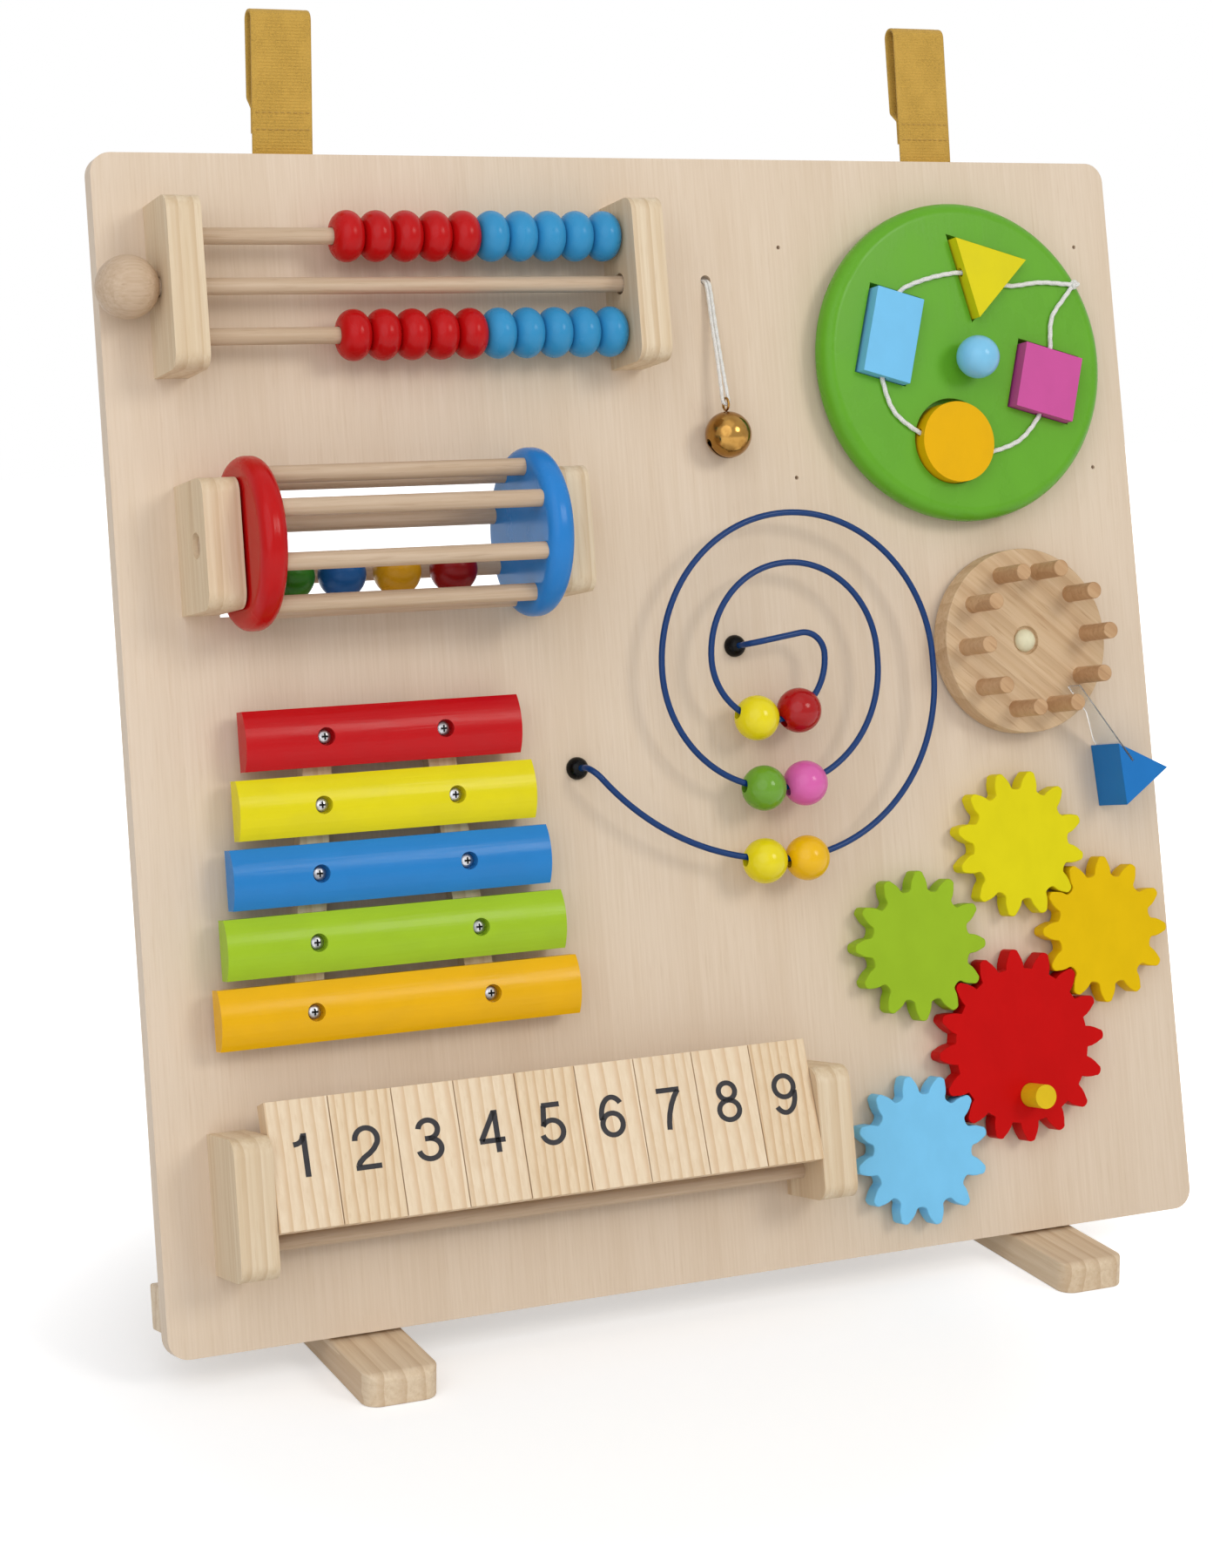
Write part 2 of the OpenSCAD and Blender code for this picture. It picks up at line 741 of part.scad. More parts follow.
module batten_box(grow) {
    translate([
        batten_inset - board_size / 2 - grow,
        batten_low - grow,
        -board_thick - batten_thick - grow
    ])
        cube([
            board_size - 2 * batten_inset + 2 * grow,
            batten_height + 2 * grow,
            batten_thick + grow
        ]);
}

// foot bar with round front and rear corners, and its brace up the board's back
module feet() {
    lift = brace_height * cos(board_lean);
    root = board_y0 + board_thick * cos(board_lean);
    color("navajowhite") for (x = [foot_shift - foot_spread / 2, foot_shift + foot_spread / 2])
        translate([x, 0, 0]) {
            intersection() {
                translate([0, -foot_length / 2, 0])
                    linear_extrude(foot_height)
                        round_rect(foot_width, foot_length, foot_round);
                rotate([90, 0, 90])
                    translate([0, 0, -foot_width])
                        linear_extrude(2 * foot_width)
                            foot_side();
            }
            difference() {
                rotate([90, 0, 90])
                    translate([0, 0, -brace_thick / 2])
                        linear_extrude(brace_thick)
                            polygon([
                                [root, foot_height - brace_root],
                                [root + brace_depth, foot_height - brace_root],
                                [root + brace_depth, foot_height + 14],
                                [root + lift * tan(board_lean) + 16, foot_height + lift],
                                [root + lift * tan(board_lean), foot_height + lift]
                            ]);
                translate([-x, 0, 0])
                    on_board()
                        batten_box(fit_gap);
            }
        }
}

// side view of a foot: round upper edge at the front and rear
module foot_side() {
    r = foot_height / 3;
    translate([-foot_length / 2, 0])
        square([foot_length, foot_height - r]);
    translate([r - foot_length / 2, 0])
        square([foot_length - 2 * r, foot_height]);
    for (y = [r - foot_length / 2, foot_length / 2 - r])
        translate([y, foot_height - r])
            circle(r);
}

// webbing seen from the side: x above the board's upper edge, y off its back
module strap_side(tilt, rise) {
    translate([-strap_tail, -strap_thick])
        square([strap_tail + strap_thick / 3, strap_thick]);
    rotate(tilt)
        strap_loop(rise - strap_fold);
}

module strap_loop(top) {
    low = strap_close + strap_thick;
    translate([0, -strap_thick])
        square([top, strap_thick]);
    translate([top, -strap_fold])
        intersection() {
            difference() {
                circle(strap_fold);
                circle(strap_fold - strap_thick);
            }
            translate([0, -strap_fold])
                square([strap_fold, 2 * strap_fold]);
        }
    polygon([
        [top, -2 * strap_fold],
        [top, strap_thick - 2 * strap_fold],
        [low + 5, strap_thick - strap_slack],
        [low, -strap_thick],
        [low - strap_lap, -strap_thick],
        [low - strap_lap, -2 * strap_thick],
        [low, -2 * strap_thick],
        [low + 5, -strap_slack]
    ]);
}

module hang_straps() {
    color("goldenrod") on_board() difference() {
        for (s = [-1, 1])
            strap_at(s)
                translate([-strap_width / 2, 0, -rest_gap])
                    rotate([90, 0, 90])
                        linear_extrude(strap_width)
                            if (s < 0)
                                strap_side(strap_tilt_left, strap_rise - strap_less);
                            else
                                strap_side(strap_tilt_right, strap_rise);
        strap_screw_at()
            translate([0, 0, -strap_thick * 2])
                cylinder(d = screw_d + 2 * fit_gap, h = strap_thick * 3);
    }
}

module screws() {
    color("silver") on_board() {
        bar_screw_at()
            screw();
        strap_screw_at()
            screw();
    }
}

// six end blocks and two xylophone rails, glued to the face
module board_blocks() {
    color("moccasin") on_board() {
        difference() {
            for (x = [abacus_l - abacus_block_w, abacus_r])
                end_block(x, abacus_low, abacus_block_w, abacus_block_l, abacus_block_h);
            for (s = [-1, 1])
                bar_x(abacus_l - rod_seat, abacus_r + rod_seat, abacus_y + s * abacus_row,
                    abacus_rod_z, rod_d + 2 * fit_gap);
            bar_x(abacus_l - abacus_block_w - 1, abacus_l + 1, abacus_y, abacus_rod_z, mallet_hole_d);
            bar_x(abacus_r - 1, abacus_r + mallet_seat + 2, abacus_y, abacus_rod_z, mallet_end_hole_d);
        }
        difference() {
            for (x = [drum_l - drum_block_w, drum_r])
                end_block(x, drum_y - drum_block_l / 2, drum_block_w, drum_block_l, drum_block_h);
            bar_x(drum_l - drum_block_w - 1, drum_r + drum_block_w + 1, drum_y, drum_z,
                stub_d + 2 * run_gap);
        }
        difference() {
            for (x = [tile_l - tile_block_w, tile_r])
                end_block(x, tile_block_y, tile_block_w, tile_block_l, tile_block_h);
            bar_x(tile_l - tile_seat, tile_r + tile_seat, tile_y, tile_z, tile_axle_d + 2 * fit_gap);
            bar_x(tile_l - tile_seat, tile_r + tile_seat, stop_y, stop_z, rod_d + 2 * fit_gap);
        }
        difference() {
            for (s = [-1, 1])
                translate([xylo_x + s * (rail_in + 2 * rail_step), xylo_y - 2 * xylo_pitch, 0])
                    rotate(s * rail_lean)
                        translate([-rail_width / 2, -2.35 * xylo_pitch, 0])
                            cube([rail_width, 4.7 * xylo_pitch, rail_thick]);
            bar_screw_at()
                translate([0, 0, -screw_len - fit_gap])
                    cylinder(d = screw_d + 2 * fit_gap, h = screw_len);
        }
    }
}

// two abacus rods and the stop dowel of the tiles
module dowel_rods() {
    color("tan") on_board() {
        for (s = [-1, 1])
            bar_x(abacus_l - rod_seat + fit_gap, abacus_r + rod_seat - fit_gap,
                abacus_y + s * abacus_row, abacus_rod_z, rod_d);
        bar_x(tile_l - tile_seat + fit_gap, tile_r + tile_seat - fit_gap, stop_y, stop_z, rod_d);
    }
}

// xylophone beater, parked with its stick through the abacus blocks
module mallet() {
    color("bisque") on_board() {
        translate([mallet_x, abacus_y, abacus_rod_z])
            rotate([0, 90, 0])
                rotate_extrude() {
                    intersection() {
                        circle(d = mallet_ball_d);
                        translate([0, -mallet_ball_d])
                            square(2 * mallet_ball_d);
                    }
                    square([mallet_stick_d / 2, abacus_r + mallet_seat - mallet_x]);
                }
    }
}

// five beads on an abacus rod, the first one i beads from the right block
module bead_row(s, i) {
    for (k = [i : i + 4])
        translate([abacus_r - (k + 0.5) * abacus_pitch, abacus_y + s * abacus_row, abacus_rod_z])
            rotate([0, 90, 0])
                rotate_extrude()
                    difference() {
                        union() {
                            translate([abacus_bead_d / 2 - bead_tube, 0])
                                circle(bead_tube);
                            translate([0, -bead_tube])
                                square([abacus_bead_d / 2 - bead_tube, abacus_bead_t]);
                        }
                        translate([-abacus_bead_d, -bead_tube - 1])
                            square([abacus_bead_d + rod_d / 2 + bead_gap, abacus_bead_t + 2]);
                    }
}

module upper_red_beads() {
    color("red") on_board()
        bead_row(1, 5);
}

module upper_blue_beads() {
    color("deepskyblue") on_board()
        bead_row(1, 0);
}

module lower_red_beads() {
    color("red") on_board()
        bead_row(-1, 5);
}

module lower_blue_beads() {
    color("deepskyblue") on_board()
        bead_row(-1, 0);
}

module cage_at() {
    for (k = [0 : cage_count - 1])
        rotate([-cage_turn - k * 360 / cage_count, 0, 0])
            translate([0, 0, cage_r])
                children();
}

// end disc of the drum, left face at x, dowel seats from x0 to x1
module drum_disc(x, x0, x1) {
    difference() {
        translate([x, 0, 0])
            rotate([90, 0, 90])
                rotate_extrude() {
                    square([drum_disc_r - drum_rim, drum_disc_t]);
                    translate([0, drum_rim])
                        square([drum_disc_r, drum_disc_t - 2 * drum_rim]);
                    for (y = [drum_rim, drum_disc_t - drum_rim])
                        translate([drum_disc_r - drum_rim, y])
                            circle(drum_rim);
                }
        cage_at()
            bar_x(x0, x1, 0, 0, cage_d + 2 * fit_gap);
        bar_x(drum_l, drum_l + drum_gap + cage_seat, 0, 0, stub_d + 2 * fit_gap);
        bar_x(drum_r - drum_gap - cage_seat, drum_r, 0, 0, stub_d + 2 * fit_gap);
    }
}

module drum_disc_red() {
    color("crimson") on_board()
        translate([0, drum_y, drum_z])
            drum_disc(drum_l + drum_gap, cage_l - cage_seat, cage_l + 1);
}

module drum_disc_blue() {
    color("royalblue") on_board()
        translate([0, drum_y, drum_z])
            drum_disc(cage_rt, cage_rt - 1, cage_rt + cage_seat);
}

// eight cage dowels and the two stub axles
module drum_dowels() {
    stub = drum_block_w - stub_recess;
    color("tan") on_board()
        translate([0, drum_y, drum_z]) {
            cage_at()
                bar_x(cage_l - cage_seat + fit_gap, cage_rt + cage_seat - fit_gap, 0, 0, cage_d);
            bar_x(drum_l - stub, drum_l + drum_gap + cage_seat - fit_gap, 0, 0, stub_d);
            bar_x(drum_r - drum_gap - cage_seat + fit_gap, drum_r + stub, 0, 0, stub_d);
        }
}

// loose ball number i in the cage, on the dowel that lies lowest
module rattle_ball(i) {
    x = ball_first + i * rattle_d + ball_space[i];
    on_board()
        translate([x, drum_y, drum_z])
            rotate([-ball_turn, 0, 0])
                translate([0, 0, ball_seat])
                    sphere(d = rattle_d);
}

module rattle_ball_green() {
    color("green")
        rattle_ball(0);
}

module rattle_ball_blue() {
    color("royalblue")
        rattle_ball(1);
}

module rattle_ball_yellow() {
    color("gold")
        rattle_ball(2);
}

module rattle_ball_red() {
    color("crimson")
        rattle_ball(3);
}

// xylophone bar number i from the shortest, crowned across its width
module xylo_bar(i) {
    l = bar_len + bar_step * i;
    on_board() difference() {
        translate([xylo_x - l / 2, xylo_y - xylo_pitch * i, rail_thick + rest_gap])
            rotate([90, 0, 90])
                linear_extrude(l)
                    intersection() {
                        translate([-bar_width / 2, 0])
                            square([bar_width, bar_thick]);
                        translate([0, bar_thick - crown_r])
                            circle(crown_r, $fn = 96);
                    }
        bar_screw_at() {
            cylinder(d = bar_counterbore, h = bar_thick);
            translate([0, 0, -bar_thick])
                cylinder(d = screw_d + 1, h = bar_thick + 1);
        }
    }
}

module bar_red() {
    color("crimson")
        xylo_bar(0);
}

module bar_yellow() {
    color("yellow")
        xylo_bar(1);
}

module bar_blue() {
    color("dodgerblue")
        xylo_bar(2);
}

module bar_green() {
    color("yellowgreen")
        xylo_bar(3);
}

module bar_orange() {
    color("orange")
        xylo_bar(4);
}

// number tile i from the left, tipped back on its axle
module tile(i) {
    color("blanchedalmond") on_board()
        translate([tile_l + i * tile_pitch, tile_y, tile_z])
            rotate([-tile_lean, 0, 0])
                difference() {
                    translate([tile_gap / 2, -tile_drop, -tile_thick / 2])
                        cube([tile_pitch - tile_gap, tile_len, tile_thick]);
                    bar_x(-1, tile_pitch + 1, 0, 0, tile_axle_d + 2 * run_gap);
                }
}

// arc of the wire round c, from angle a over sweep degrees, with a hair parting at each end
module wire_arc(c, r, a, sweep) {
    part = wire_part / r * 180 / PI;
    translate([c[0], c[1], wire_z])
        rotate(a + part)
            rotate_extrude(angle = sweep - 2 * part, $fn = 96)
                translate([r, 0])
                    circle(d = wire_d, $fn = 24);
}

// straight piece of the wire from point c along direction a
module wire_line(c, a, l) {
    translate([c[0], c[1], wire_z])
        rotate([0, 90, a])
            translate([0, 0, wire_part])
                cylinder(d = wire_d, h = l - 2 * wire_part, $fn = 24);
}

// bend from the wire plane at point c, heading a, down into the board
module wire_drop(c, a) {
    low = pin_back + fit_gap - board_thick;
    part = wire_part / wire_bend * 180 / PI;
    translate([c[0], c[1], wire_z])
        rotate(a) {
            translate([0, 0, -wire_bend])
                rotate([90, -part, 0])
                    rotate_extrude(angle = 90 - 2 * part, $fn = 96)
                        translate([wire_bend, 0])
                            circle(d = wire_d, $fn = 24);
            translate([wire_bend, 0, low - wire_z])
                cylinder(d = wire_d, h = wire_z - wire_bend - wire_part - low, $fn = 24);
        }
}

module maze_wire() {
    color("navy") on_board() {
        wire_drop(lead_end, 180 - maze_a0);
        wire_arc(c0, maze_r0, lead_at, maze_a0);
        wire_arc(c1, maze_r1, 270, 90);
        wire_line([c1[0] + maze_r1, c1[1]], 90, maze_s1);
        wire_arc(c2, maze_r2, 0, 180);
        wire_arc(c3, maze_r3, 180, 180);
        wire_line([c3[0] + maze_r3, c3[1]], 90, maze_s2);
        wire_arc(c4, maze_r4, 0, 180);
        wire_arc(c5, maze_r5, 180, 180);
        wire_arc(c6, maze_r6, 0, maze_a6);
        wire_line(curl_end, maze_a6 + 90, maze_s3);
        wire_drop(curl_stop, maze_a6 + 90);
    }
}

module maze_ferrules() {
    color("black") on_board()
        for (f = ferrules)
            translate([f[0], f[1], rest_gap])
                rotate_extrude()
                    difference() {
                        intersection() {
                            square([ferrule_d / 2, ferrule_h]);
                            translate([0, ferrule_h - ferrule_d / 2])
                                circle(d = ferrule_d);
                        }
                        translate([-ferrule_d, -1])
                            square([ferrule_d + wire_d / 2 + fit_gap, ferrule_h + 2]);
                    }
}

// bead on the arc round c, at angle a; its bore clears the bent wire
module maze_bead(c, r, a) {
    sag = r - sqrt(r * r - bore_half * bore_half);
    drop = maze_bore / 2 - wire_d / 2 - sag - 0.15;
    on_board()
        translate([c[0], c[1], wire_z])
            rotate(a)
                translate([r + drop, 0, 0])
                    rotate([90, 0, 0])
                        difference() {
                            sphere(d = maze_bead_d);
                            cylinder(d = maze_bore, h = 2 * maze_bead_d, center = true);
                        }
}

module maze_bead_lemon() {
    color("yellow")
        maze_bead(c0, maze_r0, 263.2);
}

module maze_bead_orange() {
    color("orange")
        maze_bead(c1, maze_r1, 275);
}

module maze_bead_green() {
    color("limegreen")
        maze_bead(c3, maze_r3, 261);
}

module maze_bead_pink() {
    color("hotpink")
        maze_bead(c3, maze_r3, 283);
}

module maze_bead_yellow() {
    color("yellow")
        maze_bead(c5, maze_r5, 253);
}

module maze_bead_red() {
    color("crimson")
        maze_bead(c5, maze_r5, 298);
}

// jingle bell with ring, slot, round slot ends and a loose ball inside
module bell() {
    r = bell_d / 2;
    color("gold") on_board()
        translate([bell_x, bell_y - bell_hang, r + rest_gap]) {
            difference() {
                rotate([-90, 0, 0])
                    rotate_extrude()
                        intersection() {
                            difference() {
                                circle(r);
                                circle(r - bell_wall);
                            }
                            translate([0, -r])
                                square([r, bell_d]);
                        }
                translate([-bell_d, -bell_d, -bell_slot / 2])
                    cube([2 * bell_d, bell_d - r / 3, bell_slot]);
                for (s = [-1, 1])
                    rotate([0, s * 90, 0])
                        translate([0, -r / 3, 0])
                            cylinder(d = bell_eye, h = bell_d);
            }
            translate([0, bell_wall + bell_pea / 2 + rest_gap - r, 0])
                sphere(d = bell_pea);
            translate([0, r + ring_r + ring_wire + rest_gap, 0])
                rotate([0, 90, 0])
                    rotate_extrude($fn = 32)
                        translate([ring_r + ring_wire / 2, 0])
                            circle(d = ring_wire, $fn = 16);
        }
}

// doubled cord from the hole in the board to the bell's ring
module bell_cord() {
    z0 = bell_d / 2 + rest_gap;
    y1 = bell_d / 2 + 2 * ring_r + ring_wire - bell_hang - bell_cord_d / 2;
    color("white") on_board()
        translate([bell_x, bell_y, 0])
            for (s = [-1, 1])
                tube(route([
                    [s * 1, 0.4, -6],
                    [s * 1, -0.2, -1],
                    [s * 1.05, -4, 2.4],
                    [s * 1.9, -22, 5],
                    [s * 1.9, -42, 8.4],
                    [s * (bell_cord_d + ring_wire + 0.2) / 2, y1, z0]
                ], 4), bell_cord_d, [1, 0, 0]);
}

// solid of a shape in the disc's axes, grown by g
module shape_solid(i, g, h) {
    if (i == 0)
        translate([0, shape_ring, 0])
            rotate(30)
                rotate(-120)
                    cylinder(r = tri_side / sqrt(3) + 2 * g, h = h, $fn = 3);
    if (i == 1)
        translate([-shape_ring - rect_w / 2 - g, -rect_h / 2 - g, 0])
            cube([rect_w + 2 * g, rect_h + 2 * g, h]);
    if (i == 2)
        translate([0, round_in - shape_ring, 0])
            cylinder(d = round_d + 2 * g, h = h);
    if (i == 3)
        translate([shape_ring - square_side / 2 - g, -square_side / 2 - g, 0])
            cube([square_side + 2 * g, square_side + 2 * g, h]);
}

module disc_axes() {
    on_board()
        translate([disc_x, disc_y, 0])
            rotate(disc_turn)
                children();
}

module shape_disc() {
    front = seat_z + disc_t;
    color("limegreen") disc_axes() difference() {
        translate([0, 0, seat_z])
            rotate_extrude($fn = 128) {
                square([disc_r - disc_rim, disc_t]);
                translate([0, disc_rim])
                    square([disc_r, disc_t - 2 * disc_rim]);
                for (h = [disc_rim, disc_t - disc_rim])
                    translate([disc_r - disc_rim, h])
                        circle(disc_rim);
            }
        for (i = [0 : 3])
            translate([recess_sag * sin(disc_turn), recess_sag * cos(disc_turn), front - recess_depth])
                shape_solid(i, recess_gap, recess_depth + 1);
        cylinder(d = pin_d + 2 * run_gap, h = seat_z + disc_t - knob_seat - 2);
        translate([0, 0, front - knob_seat])
            cylinder(d = knob_stem_d + 2 * fit_gap, h = knob_seat + 1);
    }
}

module disc_knob() {
    front = seat_z + disc_t;
    color("lightskyblue") disc_axes() {
        translate([0, 0, front + knob_d / 2 + 0.5])
            sphere(d = knob_d);
        translate([0, 0, front - knob_seat + fit_gap])
            cylinder(d = knob_stem_d, h = knob_seat + knob_d / 2);
    }
}

// shape i in its recess, with a cord hole just above the disc
module shape_piece(i) {
    disc_axes() difference() {
        translate([0, 0, seat_z + disc_t - recess_depth + rest_gap])
            shape_solid(i, 0, shape_t);
        translate([0, 0, cord_z])
            if (i % 2 == 0)
                bar_x(-disc_r, disc_r, i == 0 ? shape_ring - 3 : round_in - shape_ring, 0, cord_hole_d);
            else
                translate([(i - 2) * shape_ring, disc_r, 0])
                    rotate([90, 0, 0])
                        cylinder(d = cord_hole_d, h = 2 * disc_r);
    }
}

module shape_triangle() {
    color("yellow")
        shape_piece(0);
}

module shape_rectangle() {
    color("lightskyblue")
        shape_piece(1);
}

module shape_round() {
    color("orange")
        shape_piece(2);
}

module shape_square() {
    color("violet")
        shape_piece(3);
}

// five stretches of cord between the shapes, and the knot at the rim
module shape_cord() {
    color("white") disc_axes()
        translate([0, 0, cord_z]) {
            for (r = cord_routes)
                tube(route([for (p = r) [p[0], p[1], 0]], 6), disc_cord_d, [0, 0, 1]);
            translate([knot_at[0], knot_at[1], (knot_d - disc_cord_d) / 2])
                sphere(d = knot_d);
        }
}

// wheel with its pegs glued in
module peg_wheel() {
    color("peru") on_board()
        translate([wheel_x, wheel_y, seat_z])
            rotate(peg_turn) {
                difference() {
                    cylinder(r = wheel_r, h = wheel_t, $fn = 128);
                    translate([0, 0, -1])
                        cylinder(d = pin_d + 2 * run_gap, h = wheel_t + 2);
                    translate([0, 0, wheel_t - cap_well])
                        cylinder(d = cap_d + 2 * cap_gap, h = cap_well + 1);
                }
                for (k = [0 : peg_count - 1])
                    rotate(k * 360 / peg_count)
                        translate([peg_ring, 0, 1])
                            cylinder(d = peg_d, h = wheel_t - 1 + peg_len);
            }
}

// clear tongue in its own plane: x along it from the tip, y off the board
module tongue_side(grow) {
    low = seat_z + wheel_t + tongue_gap;
    translate([0, tongue_low - grow])
        intersection() {
            square([tongue_len + grow, click_h - tongue_low + 2 * grow]);
            polygon([
                [0, low - tongue_low],
                [17, low - tongue_low],
                [tongue_len - 15, 0],
                [tongue_len + grow, 0],
                [tongue_len + grow, click_h],
                [0, click_h]
            ]);
        }
}

module tongue_plate(grow, t) {
    translate([tongue_x, tongue_y, 0])
        rotate(tongue_tilt - 90)
            rotate([90, 0, 0])
                translate([0, 0, -t / 2])
                    linear_extrude(t)
                        tongue_side(grow);
}

module clicker_block() {
    r = click_side / sqrt(3);
    color("dodgerblue") on_board() difference() {
        translate([click_x, click_y, 0])
            rotate(click_turn)
                translate([r / 2, 0, 0])
                    cylinder(r = r, h = click_h, $fn = 3);
        tongue_plate(fit_gap, tongue_t + 2 * fit_gap);
    }
}

module clicker_tongue() {
    color("gainsboro") on_board()
        tongue_plate(0, tongue_t);
}

// gear of n teeth at c, with a blind bore for its pin
module gear(n, c, turn) {
    on_board()
        translate([c[0], c[1], seat_z])
            difference() {
                rotate(turn)
                    linear_extrude(gear_t)
                        polygon(gear_outline(n));
                translate([0, 0, -1])
                    cylinder(d = pin_d + 2 * run_gap, h = gear_t - pin_skin + 1);
                if (n == teeth_big)
                    rotate(handle_at)
                        translate([handle_r, 0, gear_t - handle_seat])
                            cylinder(d = handle_d + 2 * fit_gap, h = handle_seat + 1);
            }
}

module gear_red() {
    color("crimson")
        gear(teeth_big, big_at, gear_turn);
}

module gear_green() {
    color("yellowgreen")
        gear(teeth_small, green_at, green_turn);
}

module gear_amber() {
    color("orange")
        gear(teeth_small, amber_at, amber_turn);
}

module gear_yellow() {
    color("yellow")
        gear(teeth_small, yellow_at, yellow_turn);
}

module gear_light_blue() {
    color("lightskyblue")
        gear(teeth_small, blue_at, blue_turn);
}

module gear_handle() {
    color("gold") on_board()
        translate([gear_x, gear_y, seat_z + gear_t - handle_seat + fit_gap])
            rotate(handle_at)
                translate([handle_r, 0, 0])
                    cylinder(d = handle_d, h = handle_seat + handle_len);
}

// pin pressed into the board, with a collar under the turning piece
module axle_pin(h) {
    translate([0, 0, pin_back + fit_gap - board_thick])
        cylinder(d = pin_d, h = board_thick - pin_back - fit_gap + h);
    cylinder(d = collar_d, h = collar_h);
}

// pins of gears, disc and wheel, the wheel's domed cap, and the tile axle
module axle_pins() {
    dome = (cap_d * cap_d / 4 + cap_h * cap_h) / (2 * cap_h);
    color("lightgray") on_board() {
        pin_at()
            axle_pin(seat_z + gear_t - pin_skin - fit_gap);
        translate([disc_x, disc_y, 0])
            axle_pin(seat_z + disc_t - knob_seat - 2 - fit_gap);
        translate([wheel_x, wheel_y, 0]) {
            axle_pin(seat_z + wheel_t - cap_well + 0.2);
            translate([0, 0, seat_z + wheel_t - cap_well + rest_gap])
                rotate_extrude()
                    intersection() {
                        square([cap_d / 2, cap_h]);
                        translate([0, cap_h - dome])
                            circle(dome, $fn = 96);
                    }
        }
        bar_x(tile_l - tile_seat + fit_gap, tile_r + tile_seat - fit_gap, tile_y, tile_z, tile_axle_d);
    }
}

module tile_1() {
    tile(0);
}

module tile_2() {
    tile(1);
}

module tile_3() {
    tile(2);
}

module tile_4() {
    tile(3);
}

module tile_5() {
    tile(4);
}

module tile_6() {
    tile(5);
}

module tile_7() {
    tile(6);
}

module tile_8() {
    tile(7);
}

module tile_9() {
    tile(8);
}

panel();
rear_batten();
feet();
hang_straps();
screws();
board_blocks();
dowel_rods();
mallet();
upper_red_beads();
upper_blue_beads();
lower_red_beads();
lower_blue_beads();
drum_disc_red();
drum_disc_blue();
drum_dowels();
rattle_ball_green();
rattle_ball_blue();
rattle_ball_yellow();
rattle_ball_red();
bar_red();
bar_yellow();
bar_blue();
bar_green();
bar_orange();
tile_1();
tile_2();
tile_3();
tile_4();
tile_5();
tile_6();
tile_7();
tile_8();
tile_9();
maze_wire();
maze_ferrules();
maze_bead_lemon();
maze_bead_orange();
maze_bead_green();
maze_bead_pink();
maze_bead_yellow();
maze_bead_red();
bell();
bell_cord();
shape_disc();
disc_knob();
shape_triangle();
shape_rectangle();
shape_round();
shape_square();
shape_cord();
peg_wheel();
clicker_block();
clicker_tongue();
gear_red();
gear_green();
gear_amber();
gear_yellow();
gear_light_blue();
gear_handle();
axle_pins();
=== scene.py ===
import json
import math
import bpy
import bmesh
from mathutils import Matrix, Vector


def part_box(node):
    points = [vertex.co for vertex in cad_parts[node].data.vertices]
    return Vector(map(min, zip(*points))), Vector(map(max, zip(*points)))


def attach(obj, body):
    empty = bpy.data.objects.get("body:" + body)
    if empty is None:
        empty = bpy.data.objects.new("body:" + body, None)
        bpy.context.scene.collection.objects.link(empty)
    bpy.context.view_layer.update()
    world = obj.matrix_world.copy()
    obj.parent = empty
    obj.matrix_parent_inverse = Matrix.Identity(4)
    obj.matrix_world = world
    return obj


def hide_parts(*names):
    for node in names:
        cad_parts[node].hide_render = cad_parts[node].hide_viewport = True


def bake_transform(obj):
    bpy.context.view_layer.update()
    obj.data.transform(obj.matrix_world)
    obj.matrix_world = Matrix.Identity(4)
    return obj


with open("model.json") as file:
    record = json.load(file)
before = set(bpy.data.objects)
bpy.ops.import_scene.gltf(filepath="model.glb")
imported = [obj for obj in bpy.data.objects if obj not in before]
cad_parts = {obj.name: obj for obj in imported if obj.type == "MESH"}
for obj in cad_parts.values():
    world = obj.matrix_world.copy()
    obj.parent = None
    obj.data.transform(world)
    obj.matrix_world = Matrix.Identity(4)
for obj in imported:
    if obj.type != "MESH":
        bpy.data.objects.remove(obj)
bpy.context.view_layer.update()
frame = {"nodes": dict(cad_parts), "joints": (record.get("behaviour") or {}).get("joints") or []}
nodes = frame["nodes"]
joints = {j["name"]: j for j in frame["joints"]}
scene = bpy.context.scene
scene.view_settings.view_transform = "Standard"

# board axes: p to the right, q up the face, d out of the face, in millimetres
board = {"thick": 10, "side": 550, "lean": 12}
across = Vector((1, 0, 0))
outward = Vector(joints["disc_spin"]["axis"]).normalized()
upward = outward.cross(across)
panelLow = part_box("panel")[0]
boardFoot = Vector((0, panelLow.y, panelLow.z + board["thick"] / 1000 * outward.z))


def onBoard(p, q, d):
    return boardFoot + (across * p + upward * q + outward * d) / 1000


def linear(rgb):  # 0 to 255 as on a colour card, to Blender's linear values
    return tuple(((c / 255 + 0.055) / 1.055) ** 2.4 if c > 10 else c / 3294.6 for c in rgb) + (1,)


# camera, solved from the board's four corners
camera = {
    "spot": (-0.6548, -1.3651, 0.5490),
    "turn": (82.700, -0.587, -24.487),
    "film": 36,
    "lens": 71.43,
    "shift": (-0.0015, -0.1372),
}
cameraData = bpy.data.cameras.new("photoCamera")
cameraData.sensor_width = camera["film"]
cameraData.sensor_fit = "AUTO"
cameraData.lens = camera["lens"]
cameraData.shift_x, cameraData.shift_y = camera["shift"]
cameraObject = bpy.data.objects.new("photoCamera", cameraData)
cameraObject.location = camera["spot"]
cameraObject.rotation_euler = [math.radians(a) for a in camera["turn"]]
scene.collection.objects.link(cameraObject)
scene.camera = cameraObject
print("camera set")


